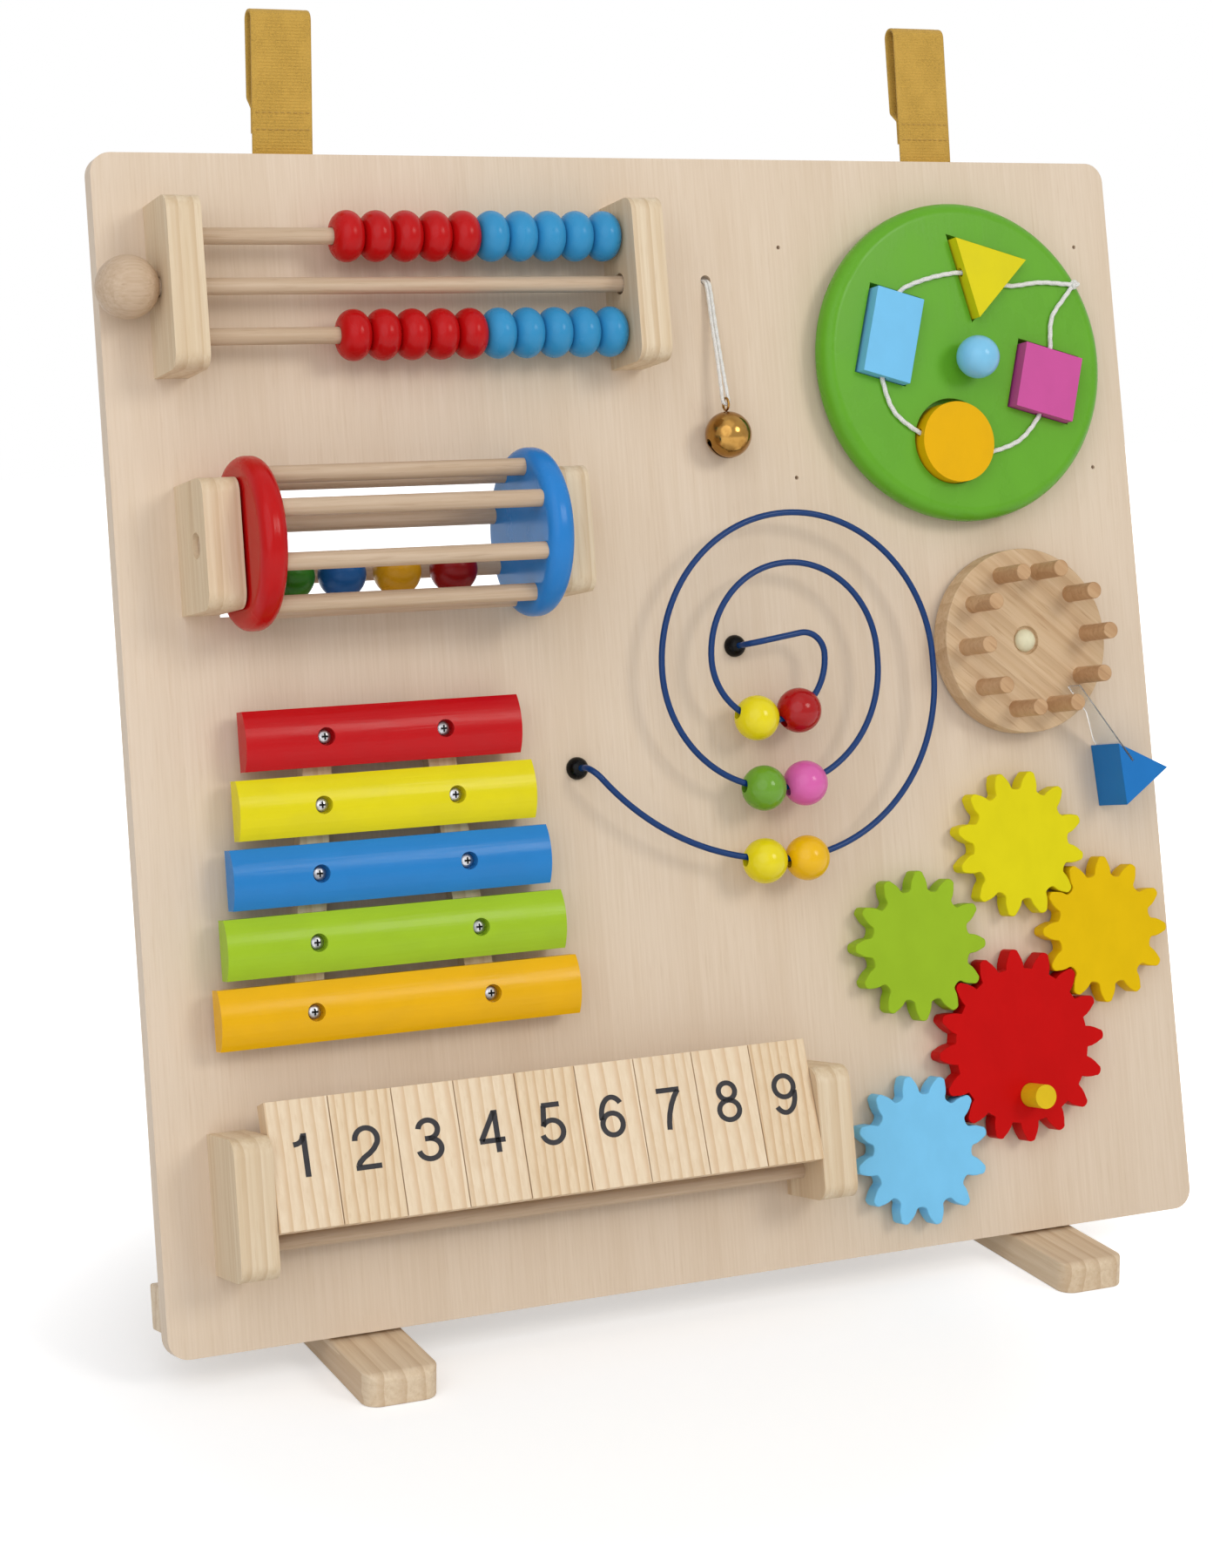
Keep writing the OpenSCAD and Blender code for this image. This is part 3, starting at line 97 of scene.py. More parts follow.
# finishes, built up from material nodes
def newFinish(name):
    finish = bpy.data.materials.new(name)
    finish.use_nodes = True
    tree = finish.node_tree
    tree.nodes.clear()
    output = tree.nodes.new("ShaderNodeOutputMaterial")
    shader = tree.nodes.new("ShaderNodeBsdfPrincipled")
    tree.links.new(shader.outputs[0], output.inputs["Surface"])
    return finish, tree, shader


def addNode(tree, kind, sets=None, **inputs):
    node = tree.nodes.new(kind)
    for key, value in (sets or {}).items():
        setattr(node, key, value)
    for key, value in inputs.items():
        place = int(key[2:]) if key.startswith("at") else key.replace("_", " ")  # by number or by name
        socket = node.inputs[place]
        if isinstance(value, bpy.types.NodeSocket):
            tree.links.new(value, socket)
        else:
            socket.default_value = value
    return node


def grainCoords(tree, turn, stretch):  # grain runs along the second axis
    source = tree.nodes.new("ShaderNodeTexCoord").outputs["Object"]
    aimed = addNode(tree, "ShaderNodeMapping", Vector=source, Rotation=[math.radians(a) for a in turn])
    return addNode(tree, "ShaderNodeMapping", Vector=aimed.outputs[0], Scale=stretch).outputs[0]


def noise(tree, coords, detail, rough=0.55):
    made = addNode(tree, "ShaderNodeTexNoise", Vector=coords, Scale=1.0, Detail=detail, Roughness=rough)
    return made.outputs["Fac"]


def spread(tree, value, low, high, toLow=0.0, toHigh=1.0):
    made = addNode(tree, "ShaderNodeMapRange", {"interpolation_type": "SMOOTHSTEP"}, Value=value,
                   at1=low, at2=high, at3=toLow, at4=toHigh)
    return made.outputs[0]


def mixColour(tree, share, first, second, way="MIX"):
    made = addNode(tree, "ShaderNodeMix", {"data_type": "RGBA", "blend_type": way})
    for socket, value in ((made.inputs[0], share), (made.inputs[6], first), (made.inputs[7], second)):
        if isinstance(value, bpy.types.NodeSocket):
            tree.links.new(value, socket)
        else:
            socket.default_value = value
    return made.outputs[2]


def calc(tree, way, first, second):
    return addNode(tree, "ShaderNodeMath", {"operation": way}, at0=first, at1=second).outputs[0]


def relief(tree, shader, height, strength, depth):
    made = addNode(tree, "ShaderNodeBump", Height=height, Strength=strength, Distance=depth)
    tree.links.new(made.outputs[0], shader.inputs["Normal"])


def offBoard(tree, low, high):  # 1 between two distances off the board's face, in mm
    source = tree.nodes.new("ShaderNodeTexCoord").outputs["Object"]
    off = addNode(tree, "ShaderNodeVectorMath", {"operation": "DOT_PRODUCT"},
                  at0=source, at1=outward).outputs["Value"]
    face = onBoard(0, 0, 0).dot(outward)
    above = calc(tree, "GREATER_THAN", off, face + low / 1000)
    return calc(tree, "MULTIPLY", above, calc(tree, "LESS_THAN", off, face + high / 1000))


faceTurn = (board["lean"] - 90, 0, 0)  # brings q to the second axis

# bare wood: fine streaks and slow drifts of tone, growth rings and flecks, all drawn out along the grain
woodGrain = {
    "slim": 45, "drift": (14, 1.6, 14), "fleck": (900, 55, 900), "ring": (1, 0.045, 1), "ringPitch": 0.314,
    "streakShare": 0.62, "driftShare": 0.38, "shine": 0.22, "relief": 0.22, "depth": 0.0003,
}


def woodFinish(name, look):
    finish, tree, shader = newFinish(name)
    turn, fine = look["turn"], look["fine"]
    streak = noise(tree, grainCoords(tree, turn, (fine, fine / woodGrain["slim"], fine)), detail=4, rough=0.6)
    drift = noise(tree, grainCoords(tree, turn, woodGrain["drift"]), detail=2)
    fleck = noise(tree, grainCoords(tree, turn, woodGrain["fleck"]), detail=1, rough=0.4)
    ringCoords = grainCoords(tree, turn, woodGrain["ring"])
    rings = addNode(tree, "ShaderNodeTexWave", {"wave_profile": "SAW"}, Vector=ringCoords,
                    Scale=woodGrain["ringPitch"] / look["ringWidth"], Distortion=look["ringBend"], Detail=2.0,
                    Detail_Scale=0.9, Detail_Roughness=0.5).outputs["Fac"]
    light, dark = linear(look["light"]), linear(look["dark"])
    tone = calc(tree, "ADD", calc(tree, "MULTIPLY", streak, woodGrain["streakShare"]),
                calc(tree, "MULTIPLY", drift, woodGrain["driftShare"]))
    colour = mixColour(tree, spread(tree, tone, 0.3, 0.7), dark, light)
    ringShare = calc(tree, "MULTIPLY", spread(tree, rings, 0.45, 1.0), look["rings"])
    colour = mixColour(tree, ringShare, colour, linear(look["late"]))
    fleckShare = calc(tree, "MULTIPLY", spread(tree, fleck, 0.6, 0.76), look["flecks"])
    colour = mixColour(tree, fleckShare, colour, linear(look["late"]))
    if "pegs" in look:
        colour = mixColour(tree, offBoard(tree, *look["pegs"]), colour, linear(look["pegTone"]), "MULTIPLY")
    tree.links.new(colour, shader.inputs["Base Color"])
    tree.links.new(spread(tree, streak, 0.2, 0.8, look["rough"] + 0.08, look["rough"] - 0.06),
                   shader.inputs["Roughness"])
    shader.inputs["Specular IOR Level"].default_value = woodGrain["shine"]
    relief(tree, shader, calc(tree, "SUBTRACT", streak, fleckShare), woodGrain["relief"], woodGrain["depth"])
    return finish


# paint: a thin coat that lets the grain of the wood show
paintCoat = {
    "streak": (420, 14, 420), "cloud": (60, 40, 60), "speck": (2600, 2600, 2600), "speckShare": 0.25,
    "deep": 0.95, "pale": 0.012, "grain": 0.12, "barGrain": 0.34, "depth": 0.0004,
    "shine": ((0.34, 0.08), (0.18, 0.16), (0, 0.26)),  # over which roughness, how much
}


def paintFinish(name, rgb, turn, rough, grain):
    finish, tree, shader = newFinish(name)
    streak = noise(tree, grainCoords(tree, turn, paintCoat["streak"]), detail=3, rough=0.6)
    cloud = noise(tree, grainCoords(tree, turn, paintCoat["cloud"]), detail=3)
    speck = noise(tree, grainCoords(tree, turn, paintCoat["speck"]), detail=1)
    full = linear(rgb)
    deep = tuple(c * paintCoat["deep"] for c in full[:3]) + (1,)
    pale = tuple(c * paintCoat["deep"] + paintCoat["pale"] for c in full[:3]) + (1,)
    colour = mixColour(tree, spread(tree, cloud, 0.3, 0.7), deep, full)
    colour = mixColour(tree, calc(tree, "MULTIPLY", spread(tree, streak, 0.55, 0.85), grain), colour, pale)
    tree.links.new(colour, shader.inputs["Base Color"])
    tree.links.new(spread(tree, cloud, 0.25, 0.75, rough - 0.05, rough + 0.07), shader.inputs["Roughness"])
    shine = next(level for over, level in paintCoat["shine"] if rough > over)
    shader.inputs["Specular IOR Level"].default_value = shine
    bumps = calc(tree, "ADD", streak, calc(tree, "MULTIPLY", speck, paintCoat["speckShare"]))
    relief(tree, shader, bumps, grain, paintCoat["depth"])
    return finish


# the near-black colour in this table is painted shade for the screws' cross slots
metalSkin = {
    "patina": (240, 240, 240), "scratch": (3000, 160, 3000), "scratchTurn": (20, 35, 10), "relief": 0.08,
    "depth": 0.0002, "slot": (0.01, 0.01, 0.01, 1),
}


def metalFinish(name, look):
    finish, tree, shader = newFinish(name)
    rough = look["rough"]
    patina = noise(tree, grainCoords(tree, (0, 0, 0), metalSkin["patina"]), detail=4)
    scratch = noise(tree, grainCoords(tree, metalSkin["scratchTurn"], metalSkin["scratch"]), detail=2)
    colour = mixColour(tree, spread(tree, patina, 0.42, 0.72), linear(look["rgb"]), linear(look["stain"]))
    if "dark" in look:  # painted shade: up to the slots the screws are coloured near black, standing in for the shade in the cross slots
        colour = mixColour(tree, offBoard(tree, *look["dark"]), colour, metalSkin["slot"])
    tree.links.new(colour, shader.inputs["Base Color"])
    shader.inputs["Metallic"].default_value = 1
    tree.links.new(spread(tree, patina, 0.3, 0.7, rough - 0.06, rough + 0.1), shader.inputs["Roughness"])
    relief(tree, shader, scratch, metalSkin["relief"], metalSkin["depth"])
    return finish


plasticSkin = {"cloud": (300, 300, 300), "deep": 0.8, "relief": 0.05, "depth": 0.0003}


def plasticFinish(name, rgb, rough, shine=0.3):
    finish, tree, shader = newFinish(name)
    cloud = noise(tree, grainCoords(tree, (0, 0, 0), plasticSkin["cloud"]), detail=3)
    full = linear(rgb)
    deep = tuple(c * plasticSkin["deep"] for c in full[:3]) + (1,)
    tree.links.new(mixColour(tree, cloud, deep, full), shader.inputs["Base Color"])
    tree.links.new(spread(tree, cloud, 0.2, 0.8, rough - 0.05, rough + 0.08), shader.inputs["Roughness"])
    shader.inputs["Specular IOR Level"].default_value = shine
    relief(tree, shader, cloud, plasticSkin["relief"], plasticSkin["depth"])
    return finish


cordSkin = {
    "fibre": (2400, 2400, 2400), "deep": 0.72, "rough": 0.85, "shine": 0.2, "sheen": 0.15, "relief": 0.4,
    "depth": 0.0003,
}


def cordFinish(name, rgb):
    finish, tree, shader = newFinish(name)
    fibre = noise(tree, grainCoords(tree, (0, 0, 0), cordSkin["fibre"]), detail=2)
    full = linear(rgb)
    deep = tuple(c * cordSkin["deep"] for c in full[:3]) + (1,)
    tree.links.new(mixColour(tree, spread(tree, fibre, 0.3, 0.65), deep, full), shader.inputs["Base Color"])
    shader.inputs["Roughness"].default_value = cordSkin["rough"]
    shader.inputs["Specular IOR Level"].default_value = cordSkin["shine"]
    shader.inputs["Sheen Weight"].default_value = cordSkin["sheen"]
    relief(tree, shader, fibre, cordSkin["relief"], cordSkin["depth"])
    return finish


def dress(piece, finish):
    piece.data.materials.clear()
    piece.data.materials.append(finish)


def addPiece(name, points, faces, finish, smooth=True):
    mesh = bpy.data.meshes.new(name)
    mesh.from_pydata([tuple(p) for p in points], [], faces)
    mesh.validate()
    shell = bmesh.new()
    shell.from_mesh(mesh)
    bmesh.ops.recalc_face_normals(shell, faces=shell.faces)
    shell.to_mesh(mesh)
    shell.free()
    for face in mesh.polygons:
        face.use_smooth = smooth
    piece = bpy.data.objects.new(name, mesh)
    scene.collection.objects.link(piece)
    dress(piece, finish)
    return piece


# faces over rings of n points, with ends unless the rings close
def skinRings(count, n, first=0, closed=False):
    faces = []
    for i in range(count if closed else count - 1):
        a, b = first + i * n, first + (i + 1) % count * n
        faces += [(a + k, a + (k + 1) % n, b + (k + 1) % n, b + k) for k in range(n)]
    if not closed:
        last = first + (count - 1) * n
        faces += [tuple(range(first + n - 1, first - 1, -1)), tuple(range(last, last + n))]
    return faces


# cords first: three-strand cord, as a tube with lobes that wind along it
cord = {"lobes": 3, "sides": 15, "depth": 0.10, "twist": 6.0, "step": 0.55, "smooth": 16}


def throughPoints(points, steps):  # smooth line through the route's points
    line = []
    for i in range(len(points) - 1):
        b, c = points[i], points[i + 1]
        a = points[i - 1] if i else 2 * b - c
        d = points[i + 2] if i + 2 < len(points) else 2 * c - b
        for k in range(steps):
            t = k / steps
            line.append(0.5 * (2 * b + (c - a) * t + (2 * a - 5 * b + 4 * c - d) * t * t
                               + (3 * b - a - 3 * c + d) * t ** 3))
    return line + [points[-1]]


def evenLine(line, step):
    lengths = [0.0]
    for a, b in zip(line, line[1:]):
        lengths.append(lengths[-1] + (b - a).length)
    count = max(2, round(lengths[-1] / step))
    even, i = [], 0
    for k in range(count + 1):
        want = lengths[-1] * k / count
        while i < len(line) - 2 and lengths[i + 1] < want:
            i += 1
        share = (want - lengths[i]) / max(1e-9, lengths[i + 1] - lengths[i])
        even.append(line[i].lerp(line[i + 1], min(1.0, share)))
    return even, lengths[-1]


def windCord(name, line, diameter, finish, wound0=0.0):
    path, length = evenLine(line, cord["step"] / 1000)
    side = outward.copy()
    points, n = [], cord["sides"]
    for i, spot in enumerate(path):
        ahead = (path[min(i + 1, len(path) - 1)] - path[max(i - 1, 0)]).normalized()
        side = (side - ahead * side.dot(ahead)).normalized()
        other = ahead.cross(side)
        wound = wound0 + 2 * math.pi * (length * i / (len(path) - 1)) / (cord["twist"] / 1000)
        for k in range(n):
            a = 2 * math.pi * k / n
            r = diameter / 2 * (1 - cord["depth"] / 2 + cord["depth"] * math.cos(cord["lobes"] * a - wound))
            points.append(spot + (side * math.cos(a) + other * math.sin(a)) * r)
    return addPiece(name, points, skinRings(len(path), n), finish), path, length


cordWhite = cordFinish("cordWhite", (238, 236, 230))

# shape cord: route points in the disc's own axes, through the holes in the shapes
shapeCord = {
    "centre": (172, 443.7), "turn": -16, "height": 18.2, "diameter": 2.4,
    "knot": (54.6, 55.6), "knotSize": 0.62, "knotLift": 0.75, "knotRise": 0.8, "knotSteps": 60,
    "knotCord": 1.9,
    "fromKnot": [(54.2, 55.4), (34.9, 51.2), (20, 45.3), (13, 43.7), (6, 43.5), (0, 43.5)],
    "toKnot": [(46.5, 0), (46.5, 10), (46.8, 17.5), (44.6, 34.1), (50.2, 47.4), (54.3, 55.2)],
    "between": [
        ("triangle", "rectangle", [(0, 43.5), (-6, 43.5), (-13, 43.1), (-27.6, 36.6), (-41, 28), (-46, 22),
                                   (-46.5, 15), (-46.5, 0)]),
        ("rectangle", "round", [(-46.5, 0), (-46.5, -15), (-46.1, -23), (-36.8, -37), (-22, -43.6),
                                (-14, -44), (0, -44)]),
        ("round", "square", [(0, -44), (14, -44), (22, -43.2), (37.2, -33.2), (45.8, -19), (46.5, -11),
                             (46.5, 0)]),
    ],
    # from a shape's middle to its edge
    "mouths": {"triangle": 13.2, "rectangle": 22.2, "round": 20.5, "square": 17},
}


def onDisc(x, y, lift=0.0):
    a = math.radians(shapeCord["turn"])
    return onBoard(shapeCord["centre"][0] + x * math.cos(a) - y * math.sin(a),
                   shapeCord["centre"][1] + x * math.sin(a) + y * math.cos(a),
                   shapeCord["height"] + lift)


def discLine(points):
    return throughPoints([onDisc(x, y) for x, y in points], cord["smooth"])


def layCord(name, line, wound=0.0):
    thick = shapeCord["diameter"] / 1000
    piece, path, length = windCord(name, line, thick, cordWhite, wound)
    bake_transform(piece)  # inside its hole the cord goes with the shape
    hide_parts("shape_cord")
    print(name, round(length, 4))


for first, second, points in shapeCord["between"]:  # each stretch in two halves, one for each shape
    line, whole = evenLine(discLine(points), cord["step"] / 1000)
    middle = len(line) // 2
    turns = 2 * math.pi * whole * middle / (len(line) - 1) / (cord["twist"] / 1000)
    layCord(first + "Cord" + second.capitalize(), line[:middle + 1])
    layCord(second + "Cord" + first.capitalize(), line[middle:], turns)

knotSize, knotSteps = shapeCord["knotSize"], shapeCord["knotSteps"]
knotLine = []
for k in range(knotSteps + 1):
    t = 2 * math.pi * k / knotSteps
    knotLine.append(onDisc(shapeCord["knot"][0] + knotSize * (math.sin(t) + 2 * math.sin(2 * t)),
                           shapeCord["knot"][1] + knotSize * (math.cos(t) - 2 * math.cos(2 * t)),
                           shapeCord["knotLift"] + shapeCord["knotRise"] * math.sin(3 * t)))
shapeKnot = windCord("shapeCordKnot", knotLine, shapeCord["knotCord"] / 1000, cordWhite)[0]
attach(shapeKnot, "disc")
layCord("triangleCordKnot", discLine(shapeCord["fromKnot"]), 0.0)
layCord("squareCordKnot", discLine(shapeCord["toKnot"]))

# bell cord: two strands from the hole in the board down to the bell's ring
bellCord = {
    "hole": (35.4, 488.5), "diameter": 1.8,
    "loopAt": (-62.4, 11.65), "loop": (1.55, 1.5, 0.9), "loopSteps": 24,  # round the bell's ring
    "strand": [(1, 0.4, -6), (1, -0.2, -1), (0.95, -4, 2.4), (1, -22, 5), (1.05, -42, 8.4),
               (1.6, -62.3, 11.65)],
}


def onBell(x, y, z):
    return onBoard(bellCord["hole"][0] + x, bellCord["hole"][1] + y, z)


bellThick = bellCord["diameter"] / 1000
(loopY, loopZ), (loopWide, loopDrop, loopRise) = bellCord["loopAt"], bellCord["loop"]
loopLine = []
for k in range(bellCord["loopSteps"] + 1):
    t = math.pi * k / bellCord["loopSteps"]
    loopLine.append(onBell(loopWide * math.cos(t), loopY - loopDrop * math.sin(t),
                           loopZ + loopRise * math.sin(t)))
bellLoop = windCord("bellCordLoop", loopLine, bellThick, cordWhite)[0]
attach(bellLoop, "bell")
for side, name in ((-1, "bellCordLeft"), (1, "bellCordRight")):
    line = throughPoints([onBell(side * x, y, z) for x, y, z in bellCord["strand"]], cord["smooth"])
    strand, path, length = windCord(name, line, bellThick, cordWhite)
    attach(strand, "bell")
    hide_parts("bell_cord")
    print(name, round(length, 4))

# hanging loops: ribbed webbing, folded over and sewn to itself
strap = {
    "width": 30, "thick": 1.5, "rib": 1.5, "ribDepth": 0.1, "step": 0.25, "tail": -46, "lie": 0.85,
    "bend": 4.4, "bendSteps": 24, "deep": 8.85, "above": 28.6, "close": 23.6, "end": 11.6, "lap": 2.45,
    "easing": 14, "ribsTo": 0.81,
    # share of the thickness, from the middle to the edge
    "profile": {0: 1.0, 0.4: 1.0, 0.8: 1.0, 0.82: 1.0, 0.93: 1.12, 0.985: 0.82, 1: 0.35},
    # place along the board's edge, tilt, start of the fold
    "sides": {"Left": (-178, 10, 65.3), "Right": (174, 3, 67.6)},
}


def strapLine(tilt, reach):
    a = math.radians(tilt)
    lie, bend = strap["lie"], strap["bend"]
    loop = [(0, lie), (reach, lie)]
    for k in range(1, strap["bendSteps"]):
        t = math.pi * k / strap["bendSteps"]
        loop.append((reach + bend * math.sin(t), lie + bend * (1 - math.cos(t))))
    loop += [(reach, lie + 2 * bend), (strap["above"], strap["deep"]), (strap["close"], strap["lap"]),
             (strap["end"], strap["lap"])]
    corners = [Vector((strap["tail"], lie, 0))]
    for h, b in loop:
        corners.append(Vector((h * math.cos(a) + b * math.sin(a), b * math.cos(a) - h * math.sin(a), 0)))
    line, length = evenLine(corners, strap["step"])
    for turn in range(strap["easing"]):  # eases the corners, the ends stay
        eased = [(line[i - 1] + 2 * line[i] + line[i + 1]) / 4 for i in range(1, len(line) - 1)]
        line = [line[0]] + eased + [line[-1]]
    return line, length


webbing = {
    "yarn": (1500, 5200, 1500), "cloud": (90, 60, 90), "deep": 0.62, "pale": (1.1, 0.01), "shine": 0.3,
    "sheen": 0.2, "sheenRough": 0.4, "relief": 0.35, "depth": 0.0003,
}


def webbingFinish(name, rgb):
    finish, tree, shader = newFinish(name)
    yarn = noise(tree, grainCoords(tree, faceTurn, webbing["yarn"]), detail=2)
    cloud = noise(tree, grainCoords(tree, faceTurn, webbing["cloud"]), detail=3)
    full, (gain, added) = linear(rgb), webbing["pale"]
    deep = tuple(c * webbing["deep"] for c in full[:3]) + (1,)
    pale = tuple(min(1.0, c * gain + added) for c in full[:3]) + (1,)
    colour = mixColour(tree, spread(tree, yarn, 0.34, 0.58), deep, full)
    colour = mixColour(tree, calc(tree, "MULTIPLY", spread(tree, cloud, 0.4, 0.7), 0.4), colour, pale)
    tree.links.new(colour, shader.inputs["Base Color"])
    tree.links.new(spread(tree, yarn, 0.2, 0.8, 0.72, 0.58), shader.inputs["Roughness"])
    shader.inputs["Specular IOR Level"].default_value = webbing["shine"]
    shader.inputs["Sheen Weight"].default_value = webbing["sheen"]
    shader.inputs["Sheen Roughness"].default_value = webbing["sheenRough"]
    relief(tree, shader, yarn, webbing["relief"], webbing["depth"])
    return finish


webbingGold = webbingFinish("webbingGold", (200, 158, 66))
threadGold = cordFinish("threadGold", (196, 158, 78))
stitch = {"long": 2.0, "high": 0.32, "thick": 0.26, "sunk": 0.12, "rows": (13.6, 21.6), "count": 9,
          "inset": 2.6, "rings": 7, "sides": 6}


def onStrap(p, spot, u, lift, normal):
    return onBoard(p + u, board["side"] + spot.x + normal.x * lift,
                   -board["thick"] - spot.y - normal.y * lift)


profile = strap["profile"]
spans = [-u for u in reversed(profile) if u] + list(profile)
for side, (p, tilt, reach) in strap["sides"].items():
    line, length = strapLine(tilt, reach)
    points = []
    for i, spot in enumerate(line):
        ahead = (line[min(i + 1, len(line) - 1)] - line[max(i - 1, 0)]).normalized()
        normal = Vector((-ahead.y, ahead.x, 0))
        rib = strap["ribDepth"] * math.cos(2 * math.pi * i * strap["step"] / strap["rib"])
        for way in (1, -1):
            for u in spans if way > 0 else reversed(spans):
                raised = rib if abs(u) < strap["ribsTo"] else 0
                half = (strap["thick"] / 2 - strap["ribDepth"] + raised) * profile[abs(u)]
                points.append(onStrap(p, spot, u * strap["width"] / 2, way * half, normal))
    band = addPiece("strap" + side, points, skinRings(len(line), 2 * len(spans)), webbingGold)
    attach(band, "board")
    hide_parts("hang_straps")
    a = math.radians(tilt)
    along = Vector((math.cos(a), -math.sin(a), 0))
    normal = Vector((math.sin(a), math.cos(a), 0))
    room = strap["width"] - 2 * stitch["inset"]
    points, faces = [], []
    for row in stitch["rows"]:
        for way in (1, -1):
            lie = strap["lie"] if way < 0 else strap["lap"]
            spot = Vector((row * math.cos(a) + lie * math.sin(a), lie * math.cos(a) - row * math.sin(a), 0))
            for k in range(stitch["count"]):
                u = -room / 2 + room * k / (stitch["count"] - 1)
                base = len(points)
                for j in range(stitch["rings"]):
                    t = j / (stitch["rings"] - 1)
                    arch = stitch["high"] * math.sin(math.pi * t)
                    rise = way * (strap["thick"] / 2 - stitch["sunk"] + arch)
                    for c in range(stitch["sides"]):
                        w = 2 * math.pi * c / stitch["sides"]
                        shift = along * stitch["thick"] * math.cos(w)
                        points.append(onStrap(p, spot + shift, u + stitch["long"] * (t - 0.5),
                                              rise + stitch["thick"] * math.sin(w), normal))
                faces += skinRings(stitch["rings"], stitch["sides"], base)
    stitches = addPiece("strapStitches" + side, points, faces, threadGold)
    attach(stitches, "board")
    print("strap", side, round(length, 1), "mm")

# digits on the tiles: plain strokes, with x and y as shares of a digit's height
digit = {"high": 19.5, "centre": 18.7, "face": 5, "thick": 0.08, "lean": 12.5, "stroke": 0.122,
         "middle": (0.31, 0.5), "wide": 1.12}


def arc(x, y, rx, ry, start, end, steps=28):
    turns = [math.radians(start + (end - start) * k / steps) for k in range(steps + 1)]
    return [(x + rx * math.cos(t), y + ry * math.sin(t)) for t in turns]


six = [arc(0.31, 0.31, 0.235, 0.26, 0, 360), arc(0.345, 0.48, 0.27, 0.468, 186, 42)]
strokes = {
    1: [[(0.38, 0), (0.38, 1)],
        [(0.14, 0.76), (0.22, 0.77), (0.29, 0.8), (0.34, 0.86), (0.365, 0.95)]],
    2: [arc(0.32, 0.685, 0.245, 0.263, 182, -24)
        + [(0.46, 0.45), (0.36, 0.36), (0.23, 0.275), (0.13, 0.18), (0.09, 0.1)],
        [(0.03, 0.052), (0.59, 0.052)]],
    3: [arc(0.3, 0.735, 0.215, 0.213, 172, -80) + [(0.28, 0.524), (0.21, 0.524)],
        arc(0.3, 0.288, 0.25, 0.236, 92, -172)],
    4: [[(0.415, 0.96), (0.06, 0.3)], [(0.02, 0.285), (0.6, 0.285)], [(0.43, 0), (0.43, 0.99)]],
    5: [[(0.12, 0.948), (0.53, 0.948)], [(0.165, 0.948), (0.11, 0.46)],
        arc(0.3, 0.318, 0.245, 0.266, 148, -166)],
    6: six,
    7: [[(0.03, 0.948), (0.575, 0.948)],
        [(0.54, 0.93), (0.44, 0.78), (0.35, 0.6), (0.275, 0.38), (0.235, 0.18), (0.22, 0)]],
    8: [arc(0.31, 0.745, 0.195, 0.203, 0, 360), arc(0.31, 0.288, 0.24, 0.236, 0, 360)],
    9: [[(2 * digit["middle"][0] - x, 1 - y) for x, y in line] for line in six],  # upside down
}
digitInk = plasticFinish("digitInk", (44, 42, 46), 0.55)
tileTilt = math.radians(digit["lean"])
tileUp = upward * math.cos(tileTilt) - outward * math.sin(tileTilt)
tileOut = upward * math.sin(tileTilt) + outward * math.cos(tileTilt)
for number, lines in strokes.items():
    middle = Vector(joints["tile_%d_flip" % number]["pos_m"])
    middle += (tileUp * digit["centre"] + tileOut * digit["face"]) / 1000
    points, faces = [], []
    for line in lines:
        ring = (Vector(line[0]) - Vector(line[-1])).length < 0.001  # the stroke closes
        spots = [Vector(v) for v in (line[:-1] if ring else line)]
        count, first = len(spots), len(points)
        for i, spot in enumerate(spots):
            before = spots[i - 1] if i or ring else spot
            after = spots[(i + 1) % count] if i < count - 1 or ring else spot
            ahead = (after - before).normalized()
            side = Vector((-ahead.y, ahead.x)) * digit["stroke"] / 2
            for edge, lift in ((side, 0), (-side, 0), (-side, 1), (side, 1)):
                x, y = spot + edge - Vector(digit["middle"])
                points.append(middle + (across * x * digit["wide"] + tileUp * y) * digit["high"] / 1000
                              + tileOut * lift * digit["thick"] / 1000)
        faces += skinRings(count, 4, first, ring)
    mark = addPiece("digit%d" % number, points, faces, digitInk, smooth=False)
    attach(mark, "tile_%d" % number)
print("digits set")

# cap over the wheel's pin
cap = {"spot": (195, 299), "base": 12.56, "dome": 6.06, "sunk": 0.98, "rings": 14, "sides": 48}
capCream = plasticFinish("capCream", (238, 232, 196), 0.35)
points, (capP, capQ) = [], cap["spot"]
widest = math.acos(cap["sunk"] / cap["dome"])
for i in range(cap["rings"]):
    lean = widest * (1 - i / cap["rings"])
    r, h = cap["dome"] * math.sin(lean), cap["dome"] * math.cos(lean) - cap["sunk"]
    for k in range(cap["sides"]):
        a = 2 * math.pi * k / cap["sides"]
        points.append(onBoard(capP + r * math.cos(a), capQ + r * math.sin(a), cap["base"] + h))
wheelCap = addPiece("wheelCap", points, skinRings(cap["rings"], cap["sides"]), capCream)
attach(wheelCap, "board")
print("cap set")

